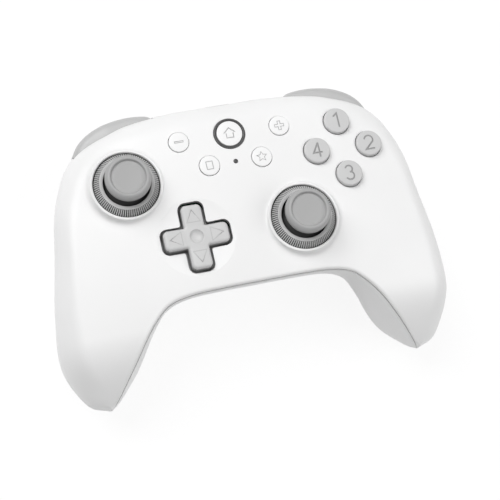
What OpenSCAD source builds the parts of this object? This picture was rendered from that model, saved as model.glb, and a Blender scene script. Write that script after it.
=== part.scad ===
// Handheld game controller: two-part casing, two thumbsticks, direction pad,
// buttons, bumpers, triggers and the working parts inside. Millimetres.
// +X right, +Y towards the bumpers, +Z out of the face. It rests on Z = 0.

/* [Casing] */
// Width over both grips
body_w = 147.4; // [146:0.2:154]
// Length of the casing, grip tips to back edge
body_l = 100.4; // [99:0.2:106]
// Height of the face over the table
deck_z = 51; // [50:0.5:56]
// Wall of both shells
wall = 2.2; // [1.8:0.1:2.4]
// Open line between the two shells
seam_gap = 0.25; // [0.1:0.05:0.4]
// Crown radius of the face, side to side
crown_rx = 430; // [400:10:900]
// Crown radius of the face, front to back
crown_ry = 330; // [300:10:900]
// Width of the rolled outer edge of the face
edge_out_r = 11; // [8:0.5:13]
// Radius of the edge above the grips' gap
edge_in_r = 1.6; // [1.2:0.1:2.4]
// Squareness of the grips' section
belly_power = 2.5; // [2.3:0.1:2.8]
// Squareness of the body's back edge, above the triggers
back_power = 4.6; // [4:0.1:5]
// Size of the flat panel on the back
panel_w = 40; // [30:1:46]
// Length of the flat panel on the back
panel_l = 15; // [10:1:18]
// Depth of the flat panel's recess
panel_depth = 0.6; // [0.4:0.1:1]

/* [Thumbsticks] */
// Left stick, distance from the middle
left_stick_x = 40.2; // [38:0.1:42]
// Right stick, distance from the middle
right_stick_x = 19.7; // [19:0.1:22]
// Left stick, place along the length
left_stick_y = 21.8; // [20:0.1:24]
// Right stick, place along the length
right_stick_y = -1; // [-3:0.1:0]
// Outer radius of the stick ring
ring_r = 11.9; // [11.6:0.1:12.4]
// Inner radius of the stick ring
ring_in_r = 8.5; // [8.2:0.1:8.8]
// Radius of the ring's flat top band
ring_flat_r = 9.8; // [9.2:0.1:10.4]
// Height of the ring
ring_h = 3.1; // [2.9:0.1:3.4]
// Width of the raised collar round the ring
collar_w = 1.2; // [0.8:0.1:1.6]
// Radius of the stick cap
cap_r = 8.6; // [8.2:0.05:8.9]
// Radius of the thumb dish
dish_r = 6.2; // [5.5:0.1:7]
// Depth of the thumb dish
dish_depth = 0.8; // [0.4:0.1:1.2]
// Height of the cap's rim over the face
cap_top = 9.5; // [9.3:0.1:10.5]
// Height of the cap's side
cap_h = 4.4; // [3.8:0.1:4.6]
// Depth of the stick pivot under the face
pivot_drop = 7.5; // [7.3:0.1:7.8]
// Radius of the dust dome
dome_r = 10; // [9.8:0.05:10.1]
// Wall of the dust dome
dome_wall = 0.8; // [0.6:0.1:0.9]
// Radius of the stick rod
rod_r = 1.5; // [1.3:0.05:1.55]
// Radius of the stick neck
neck_r = 2.9; // [2.6:0.1:3.3]
// Width of the stick housing
housing_w = 12; // [11.8:0.1:12.2]
// Wall of the stick housing
housing_wall = 0.8; // [0.6:0.1:0.9]

/* [Direction pad] */
// Span of the key
dpad_span = 23.4; // [22:0.2:24.4]
// Width of each arm
dpad_arm = 7.4; // [6.8:0.1:8.4]
// Open line round the key
dpad_gap = 0.9; // [0.7:0.05:1]
// Radius of the dished seat
dpad_seat_r = 14; // [13.6:0.1:14.4]
// Depth of the seat under the face height
dpad_seat_drop = 1.9; // [1.7:0.1:2.1]
// Height of the key over its seat
dpad_rise = 1.7; // [1.4:0.1:2.4]
// Radius of the key's hidden flange
dpad_flange_r = 11; // [10:0.1:11.2]

/* [Buttons] */
// Radius of a face button
face_button_r = 4.8; // [4.6:0.05:5.1]
// Distance of the face buttons from the middle of their group
face_pitch = 10.15; // [9.8:0.05:10.6]
// Middle of the face buttons, distance from the middle line
face_x = 40.4; // [39:0.1:40.6]
// Middle of the face buttons, place along the length
face_y = 22.3; // [21.6:0.1:22.5]
// Height of a face button over the face
face_button_rise = 1.9; // [1.4:0.1:2.2]
// Radius of a menu button
menu_button_r = 3.65; // [3.3:0.05:3.9]
// Height of a menu button over the face
menu_button_rise = 0.5; // [0.3:0.1:0.8]
// Upper menu buttons, distance from the middle
menu_upper_x = 18.7; // [18.2:0.1:19.2]
// Upper menu buttons, place along the length
menu_upper_y = 34.1; // [33.8:0.1:34.6]
// Lower menu buttons, distance from the middle
menu_lower_x = 9.7; // [9.3:0.1:10.2]
// Lower menu buttons, place along the length
menu_lower_y = 23.5; // [23:0.1:23.8]
// Radius of the home button
home_r = 4.7; // [4.4:0.05:4.8]
// Outer radius of the home ring
home_ring_r = 5.75; // [5.6:0.05:6]
// Radius of the status light
light_r = 0.78; // [0.6:0.02:0.9]

/* [Bumpers and triggers] */
// Height of a bumper
bumper_h = 11; // [10:0.1:11.6]
// Gap between the face's edge and the bumper's top
bumper_drop = 7; // [6.6:0.1:7.4]
// Radius of a bumper's pivot pin
bumper_pin_r = 1.2; // [1:0.05:1.3]
// Inner side of a trigger, distance from the middle
trigger_x = 33.4; // [33:0.1:34]
// Width of a trigger
trigger_w = 19.8; // [19:0.1:20.4]
// Radius of a trigger pin
trigger_pin_r = 1.25; // [1.1:0.05:1.4]
// Radius of a trigger's hub
trigger_hub_r = 3; // [2.6:0.1:3.2]

/* [Inside] */
// Thickness of the main board
board_t = 1.6; // [1.2:0.1:1.8]
// Depth of the board's top under the face
board_drop = 13; // [12.9:0.1:13.2]
// Thickness of a membrane's base
pad_t = 1; // [0.8:0.1:1.1]
// Height of a membrane's dome
dome_h = 2.2; // [1.8:0.1:2.2]
// Battery width
battery_w = 48; // [40:1:50]
// Battery length
battery_l = 30; // [26:1:32]
// Battery thickness
battery_t = 9; // [7:0.5:11]
// Radius of a rumble motor
motor_r = 6; // [5:0.1:6.5]
// Length of a rumble motor
motor_l = 14; // [12:0.5:15]
// Radius of a rumble weight
weight_r = 7; // [6:0.1:7.5]
// Thickness of a rumble weight
weight_t = 5; // [3:0.5:6]
// Width of the USB socket
usb_w = 9; // [8.9:0.05:9.1]
// Height of the USB socket
usb_h = 3.2; // [3.1:0.05:3.3]
// Length of the USB socket
usb_l = 7.4; // [7:0.1:7.6]

/* [Fasteners] */
// Radius of a case screw's shank
screw_r = 1.2; // [1:0.05:1.3]
// Radius of a case screw's head
screw_head_r = 2.4; // [2.2:0.1:2.6]
// Height of a screw head
screw_head_h = 1.8; // [1.4:0.1:2]
// Wall round a screw
boss_wall = 1.6; // [1.2:0.1:1.8]
// Radius of a board screw's shank
board_screw_r = 0.9; // [0.8:0.05:1]

/* [Clearances] */
// Gap round each button
button_gap = 0.2; // [0.15:0.01:0.3]
// Running gap of a pin in its bore
run_gap = 0.05; // [0.03:0.01:0.08]
// Gap round bumpers and triggers
shoulder_gap = 0.5; // [0.4:0.05:0.6]
// Gap of a seated piece
seat_gap = 0.05; // [0.03:0.01:0.1]

/* [Hidden] */
$fn = 48;

// The seam of the casing, right half: outer rail and inner rail from the middle to the grip tip.
// Each row is X, Y and the height against the face. Rows pair up across the casing.
rail_w = 73.7;
rail_back = 49;
rail_tip = 51.4;
rail_out = [[0, 49, -13], [20, 48.9, -13], [40, 46.4, -13.4], [56.5, 38.3, -14.6], [65, 23, -15.5],
    [68.8, 4, -18.6], [72.3, -15, -22.8], [73.3, -33, -29.4], [66.8, -47.3, -32.2], [59.4, -51.3, -32]];
rail_in = [[0, -20.6, -4.5], [14, -20.6, -4.7], [25.5, -21, -5.4], [33.5, -22.9, -6.2],
    [39, -27.4, -7.5], [43.5, -32.9, -9.3], [47.2, -38.1, -12.4], [51, -43.1, -17.2],
    [55.6, -49, -24.7], [58.3, -51.4, -31.4]];
// Lowest height of the back along the same rows, and how far the grips' inner wall swells
belly_drop = [37, 37, 37.5, 39.5, 43.5, 49, 51, 47.8, 39, 33];
grip_swell = [-1.4, -1.4, -1.1, 0.5, 2.7, 3.7, 3.5, 2.7, 1.2, 0];
// Share of the body's squareness in each row
back_share = [1, 1, 1, 0.8, 0.4, 0.15, 0, 0, 0, 0];
row_steps = 3;
row_cols = 14;
last_row = len(rail_out) - 1;
solid_tip_row = 8;
crown_y = 27;
nose_y = -29;
nose_k = 0.03;

scale_x = body_w / 2 / rail_w;
scale_y = body_l / (rail_back + rail_tip);
belly_depth = max(belly_drop);

// Point on a smooth curve through a list of points
function curve(a, b, c, d, t) =
    0.5 * (2 * b + (c - a) * t + (2 * a - 5 * b + 4 * c - d) * t * t + (3 * b - a - 3 * c + d) * t * t * t);
function mirrored(p) = is_num(p) ? p : [-p[0], p[1], p[2]];
function along(list, s) =
    let(n = len(list) - 1, k = min(floor(s), n - 1), t = s - k,
        a = k == 0 ? mirrored(list[1]) : list[k - 1],
        d = k == n - 1 ? 2 * list[n] - list[n - 1] : list[k + 2])
    curve(a, list[k], list[k + 1], d, t);
function rail(list, u) =
    let(p = along(list, abs(u)))
    [p[0] * sign(u) * scale_x, p[1] * scale_y, deck_z + p[2]];
function belly_z(u) = deck_z - along(belly_drop, abs(u)) * deck_z / belly_depth;
function swell(u) = along(grip_swell, abs(u));
function back_curve(u) = 2 / mix(belly_power, back_power, along(back_share, abs(u)));
function face_z(x, y) =
    deck_z - x * x / (2 * crown_rx) - pow(y - crown_y, 2) / (2 * crown_ry)
        - nose_k * pow(max(0, nose_y - y), 2);
function flat(p) = [p[0], p[1]];
function mix(a, b, t) = a + (b - a) * t;
function round_edge(q) = q >= 1 ? 0 : 1 - sqrt(1 - pow(1 - max(q, 0), 2));

// One row of the front skin, from the outer rail to the inner one, inset by a wall
function front_row(u, inset) =
    let(o = rail(rail_out, u), i = rail(rail_in, u), len_xy = norm(flat(i) - flat(o)), e = inset / len_xy,
        a = mix(o, i, e), b = mix(o, i, 1 - e), span = len_xy - 2 * inset,
        ro = min(edge_out_r, 0.7 * span), ri = min(edge_in_r, 0.6 * span),
        drop_o = face_z(a[0], a[1]) - inset - a[2], drop_i = face_z(b[0], b[1]) - inset - b[2])
    [for (j = [0:row_cols])
        let(t = 0.5 - 0.5 * cos(180 * j / row_cols), p = mix(a, b, t), d = t * span)
        [p[0], p[1], face_z(p[0], p[1]) - inset - drop_o * round_edge(d / ro)
            - drop_i * round_edge((span - d) / ri)]];

// One row of the back skin, round under the casing from the outer rail to the inner one
function rear_row(u, inset) =
    let(o = rail(rail_out, u) - [0, 0, seam_gap], i = rail(rail_in, u) - [0, 0, seam_gap],
        len_xy = norm(flat(i) - flat(o)), e = inset / len_xy,
        a = mix(o, i, e), b = mix(o, i, 1 - e), span = len_xy - 2 * inset)
    [for (j = [0:row_cols])
        let(q = 180 * j / row_cols, k = q < 90 ? back_curve(u) : 2 / belly_power,
            t = (1 - pow(abs(cos(q)), k) * sign(cos(q))) / 2,
            extra = q > 90 ? swell(u) * sin(2 * (q - 90)) / span : 0,
            p = mix(a, b, t + extra), chord = mix(a, b, t), deep = pow(sin(q), k))
        [p[0], p[1], chord[2] + (belly_z(u) + inset - chord[2]) * deep]];

function quad(a, b, c, d) = [[a, b, c], [a, c, d]];
function flip(faces) = [for (f = faces) [f[2], f[1], f[0]]];
function joined(lists) = [for (l = lists) for (x = l) x];

// Closed skin of a filled or hollow shell, from its rows of points
module skin(outer, inner, first, turned) {
    rows = len(outer);
    m = len(outer[0]);
    cols = m - 1;
    hollow = len(inner) > 0;
    last = rows - 1 - first;
    base = rows * m;
    function o(i, j) = i * m + j;
    function n(i, j) = base + (i - first) * m + j;
    outside = joined([for (i = [0:rows - 2]) for (j = [0:cols - 1])
        quad(o(i, j), o(i, j + 1), o(i + 1, j + 1), o(i + 1, j))]);
    ends = joined([for (j = [1:cols - 1])
        [[o(0, 0), o(0, j + 1), o(0, j)], [o(rows - 1, 0), o(rows - 1, j), o(rows - 1, j + 1)]]]);
    closed = [for (i = [0:rows - 2]) if (!hollow || i < first - 1 || i > last) i];
    lids = joined([for (i = closed) quad(o(i, 0), o(i + 1, 0), o(i + 1, cols), o(i, cols))]);
    inside = !hollow ? [] : joined([for (i = [first:last - 1]) for (j = [0:cols - 1])
        quad(n(i, j), n(i + 1, j), n(i + 1, j + 1), n(i, j + 1))]);
    rims = !hollow ? [] : joined([for (i = [first:last - 1]) concat(
        quad(o(i, 0), o(i + 1, 0), n(i + 1, 0), n(i, 0)),
        quad(n(i, cols), n(i + 1, cols), o(i + 1, cols), o(i, cols)))]);
    stops = !hollow ? [] : joined([for (j = [1:cols - 1])
        [[n(first, 0), n(first, j), n(first, j + 1)], [n(last, 0), n(last, j + 1), n(last, j)]]]);
    tips = !hollow ? [] : concat(
        tip_lid(o(first - 1, 0), o(first - 1, cols), o(first, 0), n(first, 0), n(first, cols),
            o(first, cols)),
        flip(tip_lid(o(last + 1, 0), o(last + 1, cols), o(last, 0), n(last, 0), n(last, cols),
            o(last, cols))));
    faces = concat(outside, ends, lids, inside, rims, stops, tips);
    polyhedron(points = concat(joined(outer), joined(inner)), faces = turned ? flip(faces) : faces);
}
function tip_lid(a0, a1, b0, c0, c1, b1) = [[a0, b0, c0], [a0, c0, c1], [a0, c1, a1], [a1, c1, b1]];

row_count = last_row * row_steps;
hollow_count = solid_tip_row * row_steps;
function front_rows(n, inset) = [for (i = [-n:n]) front_row(i / row_steps, inset)];
function rear_rows(n, inset) = [for (i = [-n:n]) rear_row(i / row_steps, inset)];
solid_rows = row_count - hollow_count;
module front_form() skin(front_rows(row_count, 0), front_rows(hollow_count, wall), solid_rows, true);
module rear_form() skin(rear_rows(row_count, 0), rear_rows(hollow_count, wall), solid_rows, false);
// The space inside each shell, out to the middle of its wall
module front_inside() skin(front_rows(hollow_count, wall / 2), [], 0, true);
module rear_inside() skin(rear_rows(hollow_count, wall / 2), [], 0, false);

// Places worked out from the sizes above
pivot_z = deck_z - pivot_drop;
board_top = deck_z - board_drop;
board_z = board_top - board_t;
pad_top = board_top + pad_t;
dome_top = pad_top + dome_h;
press_room = 0.3;
menu_room = 1;
face_travel = 1.5;
menu_travel = 0.8;
face_bottom = dome_top + face_travel + press_room;
menu_bottom = dome_top + menu_travel + menu_room;
// Controls and screws keep their share of the casing's width and length
function placed(x, y) = [x * scale_x, y * scale_y];
left_stick = placed(-left_stick_x, left_stick_y);
right_stick = placed(right_stick_x, right_stick_y);
dpad_at = placed(-right_stick_x, right_stick_y);
face_at = placed(face_x, face_y);
light_at = placed(0, menu_lower_y);
home_at = placed(0, menu_upper_y);
face_spots = [for (q = [90, 0, -90, 180]) face_at + face_pitch * [cos(q), sin(q)]];
menu_spots = [placed(-menu_upper_x, menu_upper_y), placed(menu_upper_x, menu_upper_y),
    placed(-menu_lower_x, menu_lower_y), placed(menu_lower_x, menu_lower_y)];
collar_r = ring_r + collar_w;
collar_h = 4.6;
ring_rise = 1.7;
well_gap = 0.6;
dpad_cup_r = dpad_seat_r + 0.6;
dpad_seat_z = deck_z - dpad_seat_drop;
dpad_pivot_drop = 9;
dpad_pivot_z = deck_z - dpad_pivot_drop;
home_hole_r = home_ring_r + seat_gap;

module at(p, z = 0) translate([p[0], p[1], z]) children();
module tube(r_out, r_in, h) difference() {
    cylinder(r = r_out, h = h);
    translate([0, 0, -1]) cylinder(r = r_in, h = h + 2);
}
module cross_2d(span, arm) {
    square([span, arm], center = true);
    square([arm, span], center = true);
}
module along_x(r, x0, x1) translate([x0, 0, 0]) rotate([0, 90, 0]) cylinder(r = r, h = x1 - x0);
module along_y(r, y0, y1) translate([0, y1, 0]) rotate([90, 0, 0]) cylinder(r = r, h = y1 - y0);
module block(low, high) translate(low) cube(high - low);
// A right-hand piece, or its mirror image on the left
module handed(side) if (side > 0) children(); else mirror([1, 0, 0]) children();

// Screws: place, seat of the head, plane where the two shells' bosses meet, top of the shank
case_list = [[-61, -33, 22, 30.5, 35], [61, -33, 22, 30.5, 35], [-56, 30.5, 29, 35.4, 43],
    [56, 30.5, 29, 35.4, 43], [0, -11, 29, 41, 44.5]];
board_list = [[2, 10], [-47, 3], [47, 3], [-27.5, 33], [27.5, 33]];
case_spots = [for (s = case_list) concat(placed(s[0], s[1]), [s[2], s[3], s[4]])];
board_spots = [for (p = board_list) placed(p[0], p[1])];
boss_r = screw_r + boss_wall;
well_r = screw_head_r + 0.3;
well_wall = 0.8;
post_r = well_r + well_wall;
board_boss_r = board_screw_r + 1.5;
boss_meet = 0.15;
blind_end = 0.3;
driver_w = 0.6;
driver_l = 2.4;
driver_depth = 0.9;
cut = 0.1;
board_screw_l = 6;
board_screw_head_h = 1.2;
board_screw_head_r = 1.8;

module case_screws() color("dimgray") for (s = case_spots) at(s) {
    translate([0, 0, s[2] - screw_head_h]) difference() {
        cylinder(r = screw_head_r, h = screw_head_h);
        translate([0, 0, -cut]) linear_extrude(driver_depth) cross_2d(driver_l, driver_w);
    }
    translate([0, 0, s[2]]) cylinder(r = screw_r, h = s[4] - s[2]);
}
module board_screws() color("silver") for (p = board_spots) at(p, board_z) {
    translate([0, 0, -board_screw_head_h]) cylinder(r = board_screw_head_r, h = board_screw_head_h);
    cylinder(r = board_screw_r, h = board_screw_l);
}

// Bumpers: a crescent that wraps the corner and turns on a pin at its inner end
back_shift = rail_back * (scale_y - 1);
function at_back(list) = [for (p = list) p + [0, back_shift]];
bumper_face = [[25.8, 46.6], [28, 48.9], [33, 49.9], [39.2, 49.3], [45, 47.7], [50, 45.1], [53.4, 42.2],
    [56, 39.2]];
bumper_rear = [[25.8, 41.6], [28.6, 40.4], [33.6, 41.6], [38.6, 42.4], [43.4, 41.8], [47.6, 39.8],
    [50.6, 37.8], [53.6, 36.4]];
bumper_outer = at_back(bumper_face);
bumper_inner = at_back(bumper_rear);
// Section of the bumper: distance in from its outer side, and share of its height
bumper_section = [[0.8, 0], [0, 0.1], [0, 0.5], [0.5, 0.72], [1.6, 0.9], [3, 1]];
// The top falls towards the outer end, so that the shell's edge covers it
bumper_fall_from = 42;
bumper_fall_to = 58;
bumper_fall = 3.6;
bumper_fall_y = 60;
bumper_pin_x = 29.2;
bumper_pin_y = 43;
bumper_pin = [bumper_pin_x, bumper_pin_y + back_shift];
bumper_pin_wall = 1.2;
bumper_turn = 3.5;
bumper_top = deck_z - bumper_drop;
bumper_z = bumper_top - bumper_h;
bumper_pin_l = 1.2;
bumper_steps = 3;
function open_curve(list) =
    let(n = len(list) - 1)
    concat([for (k = [0:n - 1]) for (i = [0:bumper_steps - 1])
        curve(list[max(k - 1, 0)], list[k], list[k + 1], list[min(k + 2, n)], i / bumper_steps)], [list[n]]);
function reversed(list) = [for (i = [len(list) - 1:-1:0]) list[i]];
module bumper_outline() polygon(concat(open_curve(bumper_outer), reversed(open_curve(bumper_inner))));
function bumper_point(o, i, c) =
    let(p = o + c[0] * (i - o) / norm(i - o))
    [p[0], p[1], bumper_z + c[1] * bumper_h];
function bumper_row(o, i) = concat([for (c = bumper_section) bumper_point(o, i, c)],
    [[i[0], i[1], bumper_top], [i[0], i[1], bumper_z]]);
module bumper() {
    o = open_curve(bumper_outer);
    i = open_curve(bumper_inner);
    difference() {
        skin([for (k = [0:len(o) - 1]) bumper_row(o[k], i[k])], [], 0, true);
        bumper_cover(0);
    }
    at(bumper_pin, bumper_z - bumper_pin_l) cylinder(r = bumper_pin_r, h = bumper_h + 2 * bumper_pin_l);
}
// The space that the bumper sweeps, with its gap
module bumper_room() difference() {
    translate([0, 0, bumper_z - shoulder_gap]) linear_extrude(bumper_h + 2 * shoulder_gap)
        offset(delta = shoulder_gap) for (share = [0, 0.5, 1])
            at(bumper_pin) rotate(-bumper_turn * share) at(-bumper_pin) bumper_outline();
    bumper_cover(shoulder_gap);
}
module bumper_cover(lift) rotate([90, 0, 0]) translate([0, 0, -bumper_fall_y]) linear_extrude(bumper_fall_y)
    polygon([[bumper_fall_from, bumper_top + lift], [bumper_fall_to, bumper_top + lift - bumper_fall],
        [bumper_fall_to, deck_z], [bumper_fall_from, deck_z]]);
module left_bumper() color("lightgray") handed(-1) bumper();
module right_bumper() color("lightgray") handed(1) bumper();

// Triggers: a curved paddle on a cross pin
trigger_pin_y = 37.4;
trigger_pin_z = 28;
trigger_pin_at = [trigger_pin_y + back_shift, trigger_pin_z];
trigger_top_z = bumper_z - 1.4;
trigger_tip_y = rail_tip;
trigger_face = [[43, trigger_top_z], [47, trigger_top_z - 0.6], [49.6, 25], [49.8, 16], [49.4, 8],
    [trigger_tip_y, 2.4], [trigger_tip_y - 0.6, 0]];
trigger_back = [[46.4, 0.8], [42.8, 6.5], [39.8, 12], [37.6, 17], [36.8, 22], [41.2, 23]];
trigger_plan = [[trigger_x, 20], [trigger_x, 53], [40, 52.2], [45, 50.2], [49, 47],
    [trigger_x + trigger_w, 42.4], [trigger_x + trigger_w, 20]];
trigger_hub_w = 7;
hub_web = trigger_hub_r - 0.4;
hub_root = trigger_hub_r + 1;
hub_inset = 0.2;
hub_end = 46;
hub_reach = hub_end + back_shift;
trigger_hub_x = trigger_x + 5;
ear_t = 1.8;
ear_r = 2.8;
ear_root = 0.5;
ear_gap = 0.35;
spring_l = 2.8;
spring_x = trigger_hub_x + trigger_hub_w + ear_gap;
ear_in_x = trigger_hub_x - ear_gap - ear_t;
ear_out_x = spring_x + spring_l + ear_gap;
pocket_in = trigger_x - shoulder_gap - 0.3;
pocket_out = trigger_x + trigger_w + shoulder_gap + 0.3;
pocket_top = bumper_z - shoulder_gap;
bulkhead_y = trigger_pin_at[0] - trigger_hub_r - 0.6;
module trigger_side() {
    translate([back_shift, 0]) polygon(concat(open_curve(trigger_face), trigger_back));
}
module to_side(x0, w) translate([x0, 0, 0]) rotate([90, 0, 90]) linear_extrude(w) children();
module trigger() difference() {
    union() {
        intersection() {
            to_side(trigger_x - 1, trigger_w + 2) trigger_side();
            linear_extrude(deck_z) polygon(at_back(trigger_plan));
        }
        to_side(trigger_hub_x, trigger_hub_w) {
            polygon([[trigger_pin_at[0], trigger_pin_at[1] - hub_web],
                [hub_reach, trigger_pin_at[1] - hub_root], [hub_reach, trigger_top_z - hub_inset],
                [trigger_pin_at[0], trigger_pin_at[1] + hub_web]]);
            translate(trigger_pin_at) circle(r = trigger_hub_r);
        }
    }
    translate([0, trigger_pin_at[0], trigger_pin_at[1]])
        along_x(trigger_pin_r + run_gap, trigger_hub_x - 1, trigger_hub_x + trigger_hub_w + 1);
}
module trigger_pin() translate([0, trigger_pin_at[0], trigger_pin_at[1]])
    along_x(trigger_pin_r, ear_in_x - 0.2, ear_out_x + ear_t + 0.2);
module trigger_spring() translate([spring_x, trigger_pin_at[0], trigger_pin_at[1]]) rotate([0, 90, 0])
    tube(trigger_pin_r + 1, trigger_pin_r + 0.1, spring_l);
module left_trigger() color("lightgray") handed(-1) trigger();
module right_trigger() color("lightgray") handed(1) trigger();
module left_trigger_pin() color("silver") handed(-1) trigger_pin();
module right_trigger_pin() color("silver") handed(1) trigger_pin();
module left_trigger_spring() color("gray") handed(-1) trigger_spring();
module right_trigger_spring() color("gray") handed(1) trigger_spring();

// Casing
usb_back = body_l - rail_tip * scale_y;
usb_gap = 0.25;
module front_bosses() intersection() {
    front_inside();
    union() {
        for (s = case_spots) at(s, s[3] + boss_meet) cylinder(r = boss_r, h = deck_z);
        for (p = board_spots) at(p, board_top) cylinder(r = board_boss_r, h = deck_z);
        for (m = [-1, 1]) at([m * bumper_pin[0], bumper_pin[1]], bumper_top + shoulder_gap)
            cylinder(r = bumper_pin_r + bumper_pin_wall, h = deck_z);
        for (p = [left_stick, right_stick]) at(p, deck_z - collar_h) cylinder(r = collar_r, h = deck_z);
        at(dpad_at, dpad_seat_z - wall) cylinder(r = dpad_cup_r, h = deck_z);
    }
}
module front_shell() color("white") difference() {
    union() {
        front_form();
        front_bosses();
        for (p = [left_stick, right_stick]) at(p, deck_z - collar_h) cylinder(r = collar_r, h = collar_h);
        at(dpad_at, dpad_seat_z - wall) cylinder(r = dpad_cup_r, h = wall + cut);
    }
    for (p = [left_stick, right_stick]) at(p) {
        translate([0, 0, deck_z - ring_h + ring_rise]) cylinder(r = ring_r + seat_gap, h = deck_z);
        translate([0, 0, board_top]) cylinder(r = dome_r + well_gap, h = deck_z);
    }
    at(dpad_at, dpad_seat_z) cylinder(r = dpad_seat_r, h = deck_z);
    at(dpad_at, board_top) linear_extrude(deck_z) cross_2d(dpad_span + 2 * dpad_gap, dpad_arm + 2 * dpad_gap);
    for (p = face_spots) at(p, board_top) cylinder(r = face_button_r + button_gap, h = deck_z);
    for (p = menu_spots) at(p, board_top) cylinder(r = menu_button_r + button_gap, h = deck_z);
    at(home_at, board_top) cylinder(r = home_hole_r, h = deck_z);
    at(light_at, board_top) cylinder(r = light_r + seat_gap, h = deck_z);
    for (s = case_spots) at(s, 0) cylinder(r = screw_r + seat_gap, h = s[4] + blind_end);
    for (p = board_spots) at(p)
        cylinder(r = board_screw_r + seat_gap, h = board_z + board_screw_l + blind_end);
    for (m = [-1, 1]) at([m * bumper_pin[0], bumper_pin[1]], bumper_z)
        cylinder(r = bumper_pin_r + run_gap, h = bumper_h + bumper_pin_l + blind_end);
    for (m = [-1, 1]) handed(m) bumper_room();
    usb_room();
}
module usb_room() translate([-usb_w / 2 - usb_gap, usb_back - usb_l - 1, board_top - usb_gap])
    cube([usb_w + 2 * usb_gap, usb_l + 10, usb_h + 2 * usb_gap]);
motor_x = 57;
motor_y = -19;
motor_z = 20;
motor_at = concat(placed(motor_x, motor_y), motor_z);
rib_t = 1.6;
cradle_end = 1;
cradle_wall = 2;
shelf_room = 3.5;
shelf_t = 3.4;
battery_y = 9;
battery_z = 21;
module rear_ribs() intersection() {
    rear_inside();
    union() {
        for (s = case_spots) at(s) cylinder(r = post_r, h = s[3]);
        for (m = [-1, 1]) handed(m) {
            pocket_walls();
            bumper_shelf();
            for (y = [motor_at[1] + cradle_end, motor_at[1] + motor_l - cradle_end - rib_t])
                block([motor_at[0] - motor_r - cradle_wall, y, 0],
                    [motor_at[0] + motor_r + cradle_wall, y + rib_t, motor_at[2]]);
        }
        for (x = [-battery_w / 4, battery_w / 4])
            block([x - rib_t / 2, battery_y - battery_l / 2, 0],
                [x + rib_t / 2, battery_y + battery_l / 2, battery_z]);
    }
}
module pocket_walls() {
    block([pocket_in - rib_t, bulkhead_y - rib_t, 0], [pocket_out + rib_t, bulkhead_y, pocket_top]);
    block([pocket_in - rib_t, bulkhead_y - rib_t, 0], [pocket_in, body_l, pocket_top]);
    block([pocket_out, bulkhead_y - rib_t, 0], [pocket_out + rib_t, body_l, pocket_top]);
}
module bumper_shelf()
    block([bumper_pin[0] - shelf_room, bumper_pin[1] - shelf_room, pocket_top - shelf_t],
        [pocket_in, bumper_pin[1] + shelf_room, pocket_top]);
module trigger_ears() for (x = [ear_in_x, ear_out_x]) difference() {
    block([x, bulkhead_y - ear_root, trigger_pin_at[1] - ear_r],
        [x + ear_t, trigger_pin_at[0] + ear_r, trigger_pin_at[1] + ear_r]);
    translate([0, trigger_pin_at[0], trigger_pin_at[1]])
        along_x(trigger_pin_r + run_gap / 2, x - 1, x + ear_t + 1);
}
module rear_shell() color("whitesmoke") {
    difference() {
        union() {
            rear_form();
            rear_ribs();
        }
        for (s = case_spots) at(s, -1) {
            cylinder(r = well_r, h = s[2] + 1);
            cylinder(r = screw_r + seat_gap, h = deck_z);
        }
        for (m = [-1, 1]) handed(m) {
            block([pocket_in, bulkhead_y, -5], [pocket_out, body_l, pocket_top]);
            bumper_room();
            at(bumper_pin, bumper_z - bumper_pin_l - blind_end)
                cylinder(r = bumper_pin_r + run_gap, h = bumper_h);
            translate([motor_at[0], 0, motor_at[2]])
                along_y(motor_r + seat_gap, motor_at[1], motor_at[1] + motor_l);
        }
        translate([-panel_w / 2, battery_y - panel_l / 2, -1]) cube([panel_w, panel_l, panel_z + 1]);
        usb_room();
    }
    for (m = [-1, 1]) handed(m) trigger_ears();
}
panel_z = belly_z(0) + panel_depth;

// Thumbsticks
tilt_span = 3.8;
ring_edge = 2.3;
module stick_ring() translate([0, 0, deck_z + ring_rise]) rotate_extrude()
    polygon([[ring_in_r, -ring_h], [ring_r, -ring_h], [ring_r, -ring_edge], [ring_flat_r, 0],
        [ring_in_r, 0]]);
spigot_r = neck_r - 0.5;
spigot_h = 2.4;
cap_foot = 0.5;
cap_shoulder = 0.7;
cap_flare = 1.2;
dish_step = 0.3;
press_gap = 0.02;
// Dish, rim, shoulder and side of the cap, from its middle outwards
cap_profile = [[0, -dish_depth], [dish_r * 0.6, -dish_depth * 0.85], [dish_r, -dish_step],
    [dish_r + 0.5, 0], [cap_r - cap_flare, -cap_shoulder], [cap_r - cap_flare / 3, -cap_h * 0.6],
    [cap_r, cap_foot - cap_h], [cap_r - cap_foot, -cap_h], [0, -cap_h]];
module stick_cap() translate([0, 0, deck_z + cap_top]) difference() {
    rotate_extrude() polygon(cap_profile);
    translate([0, 0, -cap_h - 1]) cylinder(r = spigot_r + press_gap, h = 1 + spigot_h + cut);
}
rod_drop = 3.3;
dome_reach = 70;
dome_cut = dome_r * cos(dome_reach);
module stick_shaft() translate([0, 0, pivot_z]) {
    neck_top = pivot_drop + cap_top - cap_h;
    difference() {
        union() {
            intersection() {
                sphere(r = dome_r);
                translate([0, 0, dome_cut]) cylinder(r = dome_r, h = dome_r);
            }
            cylinder(r = neck_r, h = neck_top);
        }
        sphere(r = dome_r - dome_wall);
    }
    translate([0, 0, neck_top]) cylinder(r = spigot_r, h = spigot_h);
    translate([0, 0, -rod_drop]) cylinder(r = rod_r, h = rod_drop + dome_r - dome_wall / 2);
}
pivot_pin_r = 0.8;
pin_short = 0.2;
pin_flush = 0.1;
pivot_y = 2.2;
cradle_in_x = 2.5;
cradle_in_y = pivot_y + 0.2;
cradle_x = 4.4;
cradle_y = 3.3;
cradle_h = 2.4;
trunnion_r = 0.9;
housing_in = housing_w / 2 - housing_wall;
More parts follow.
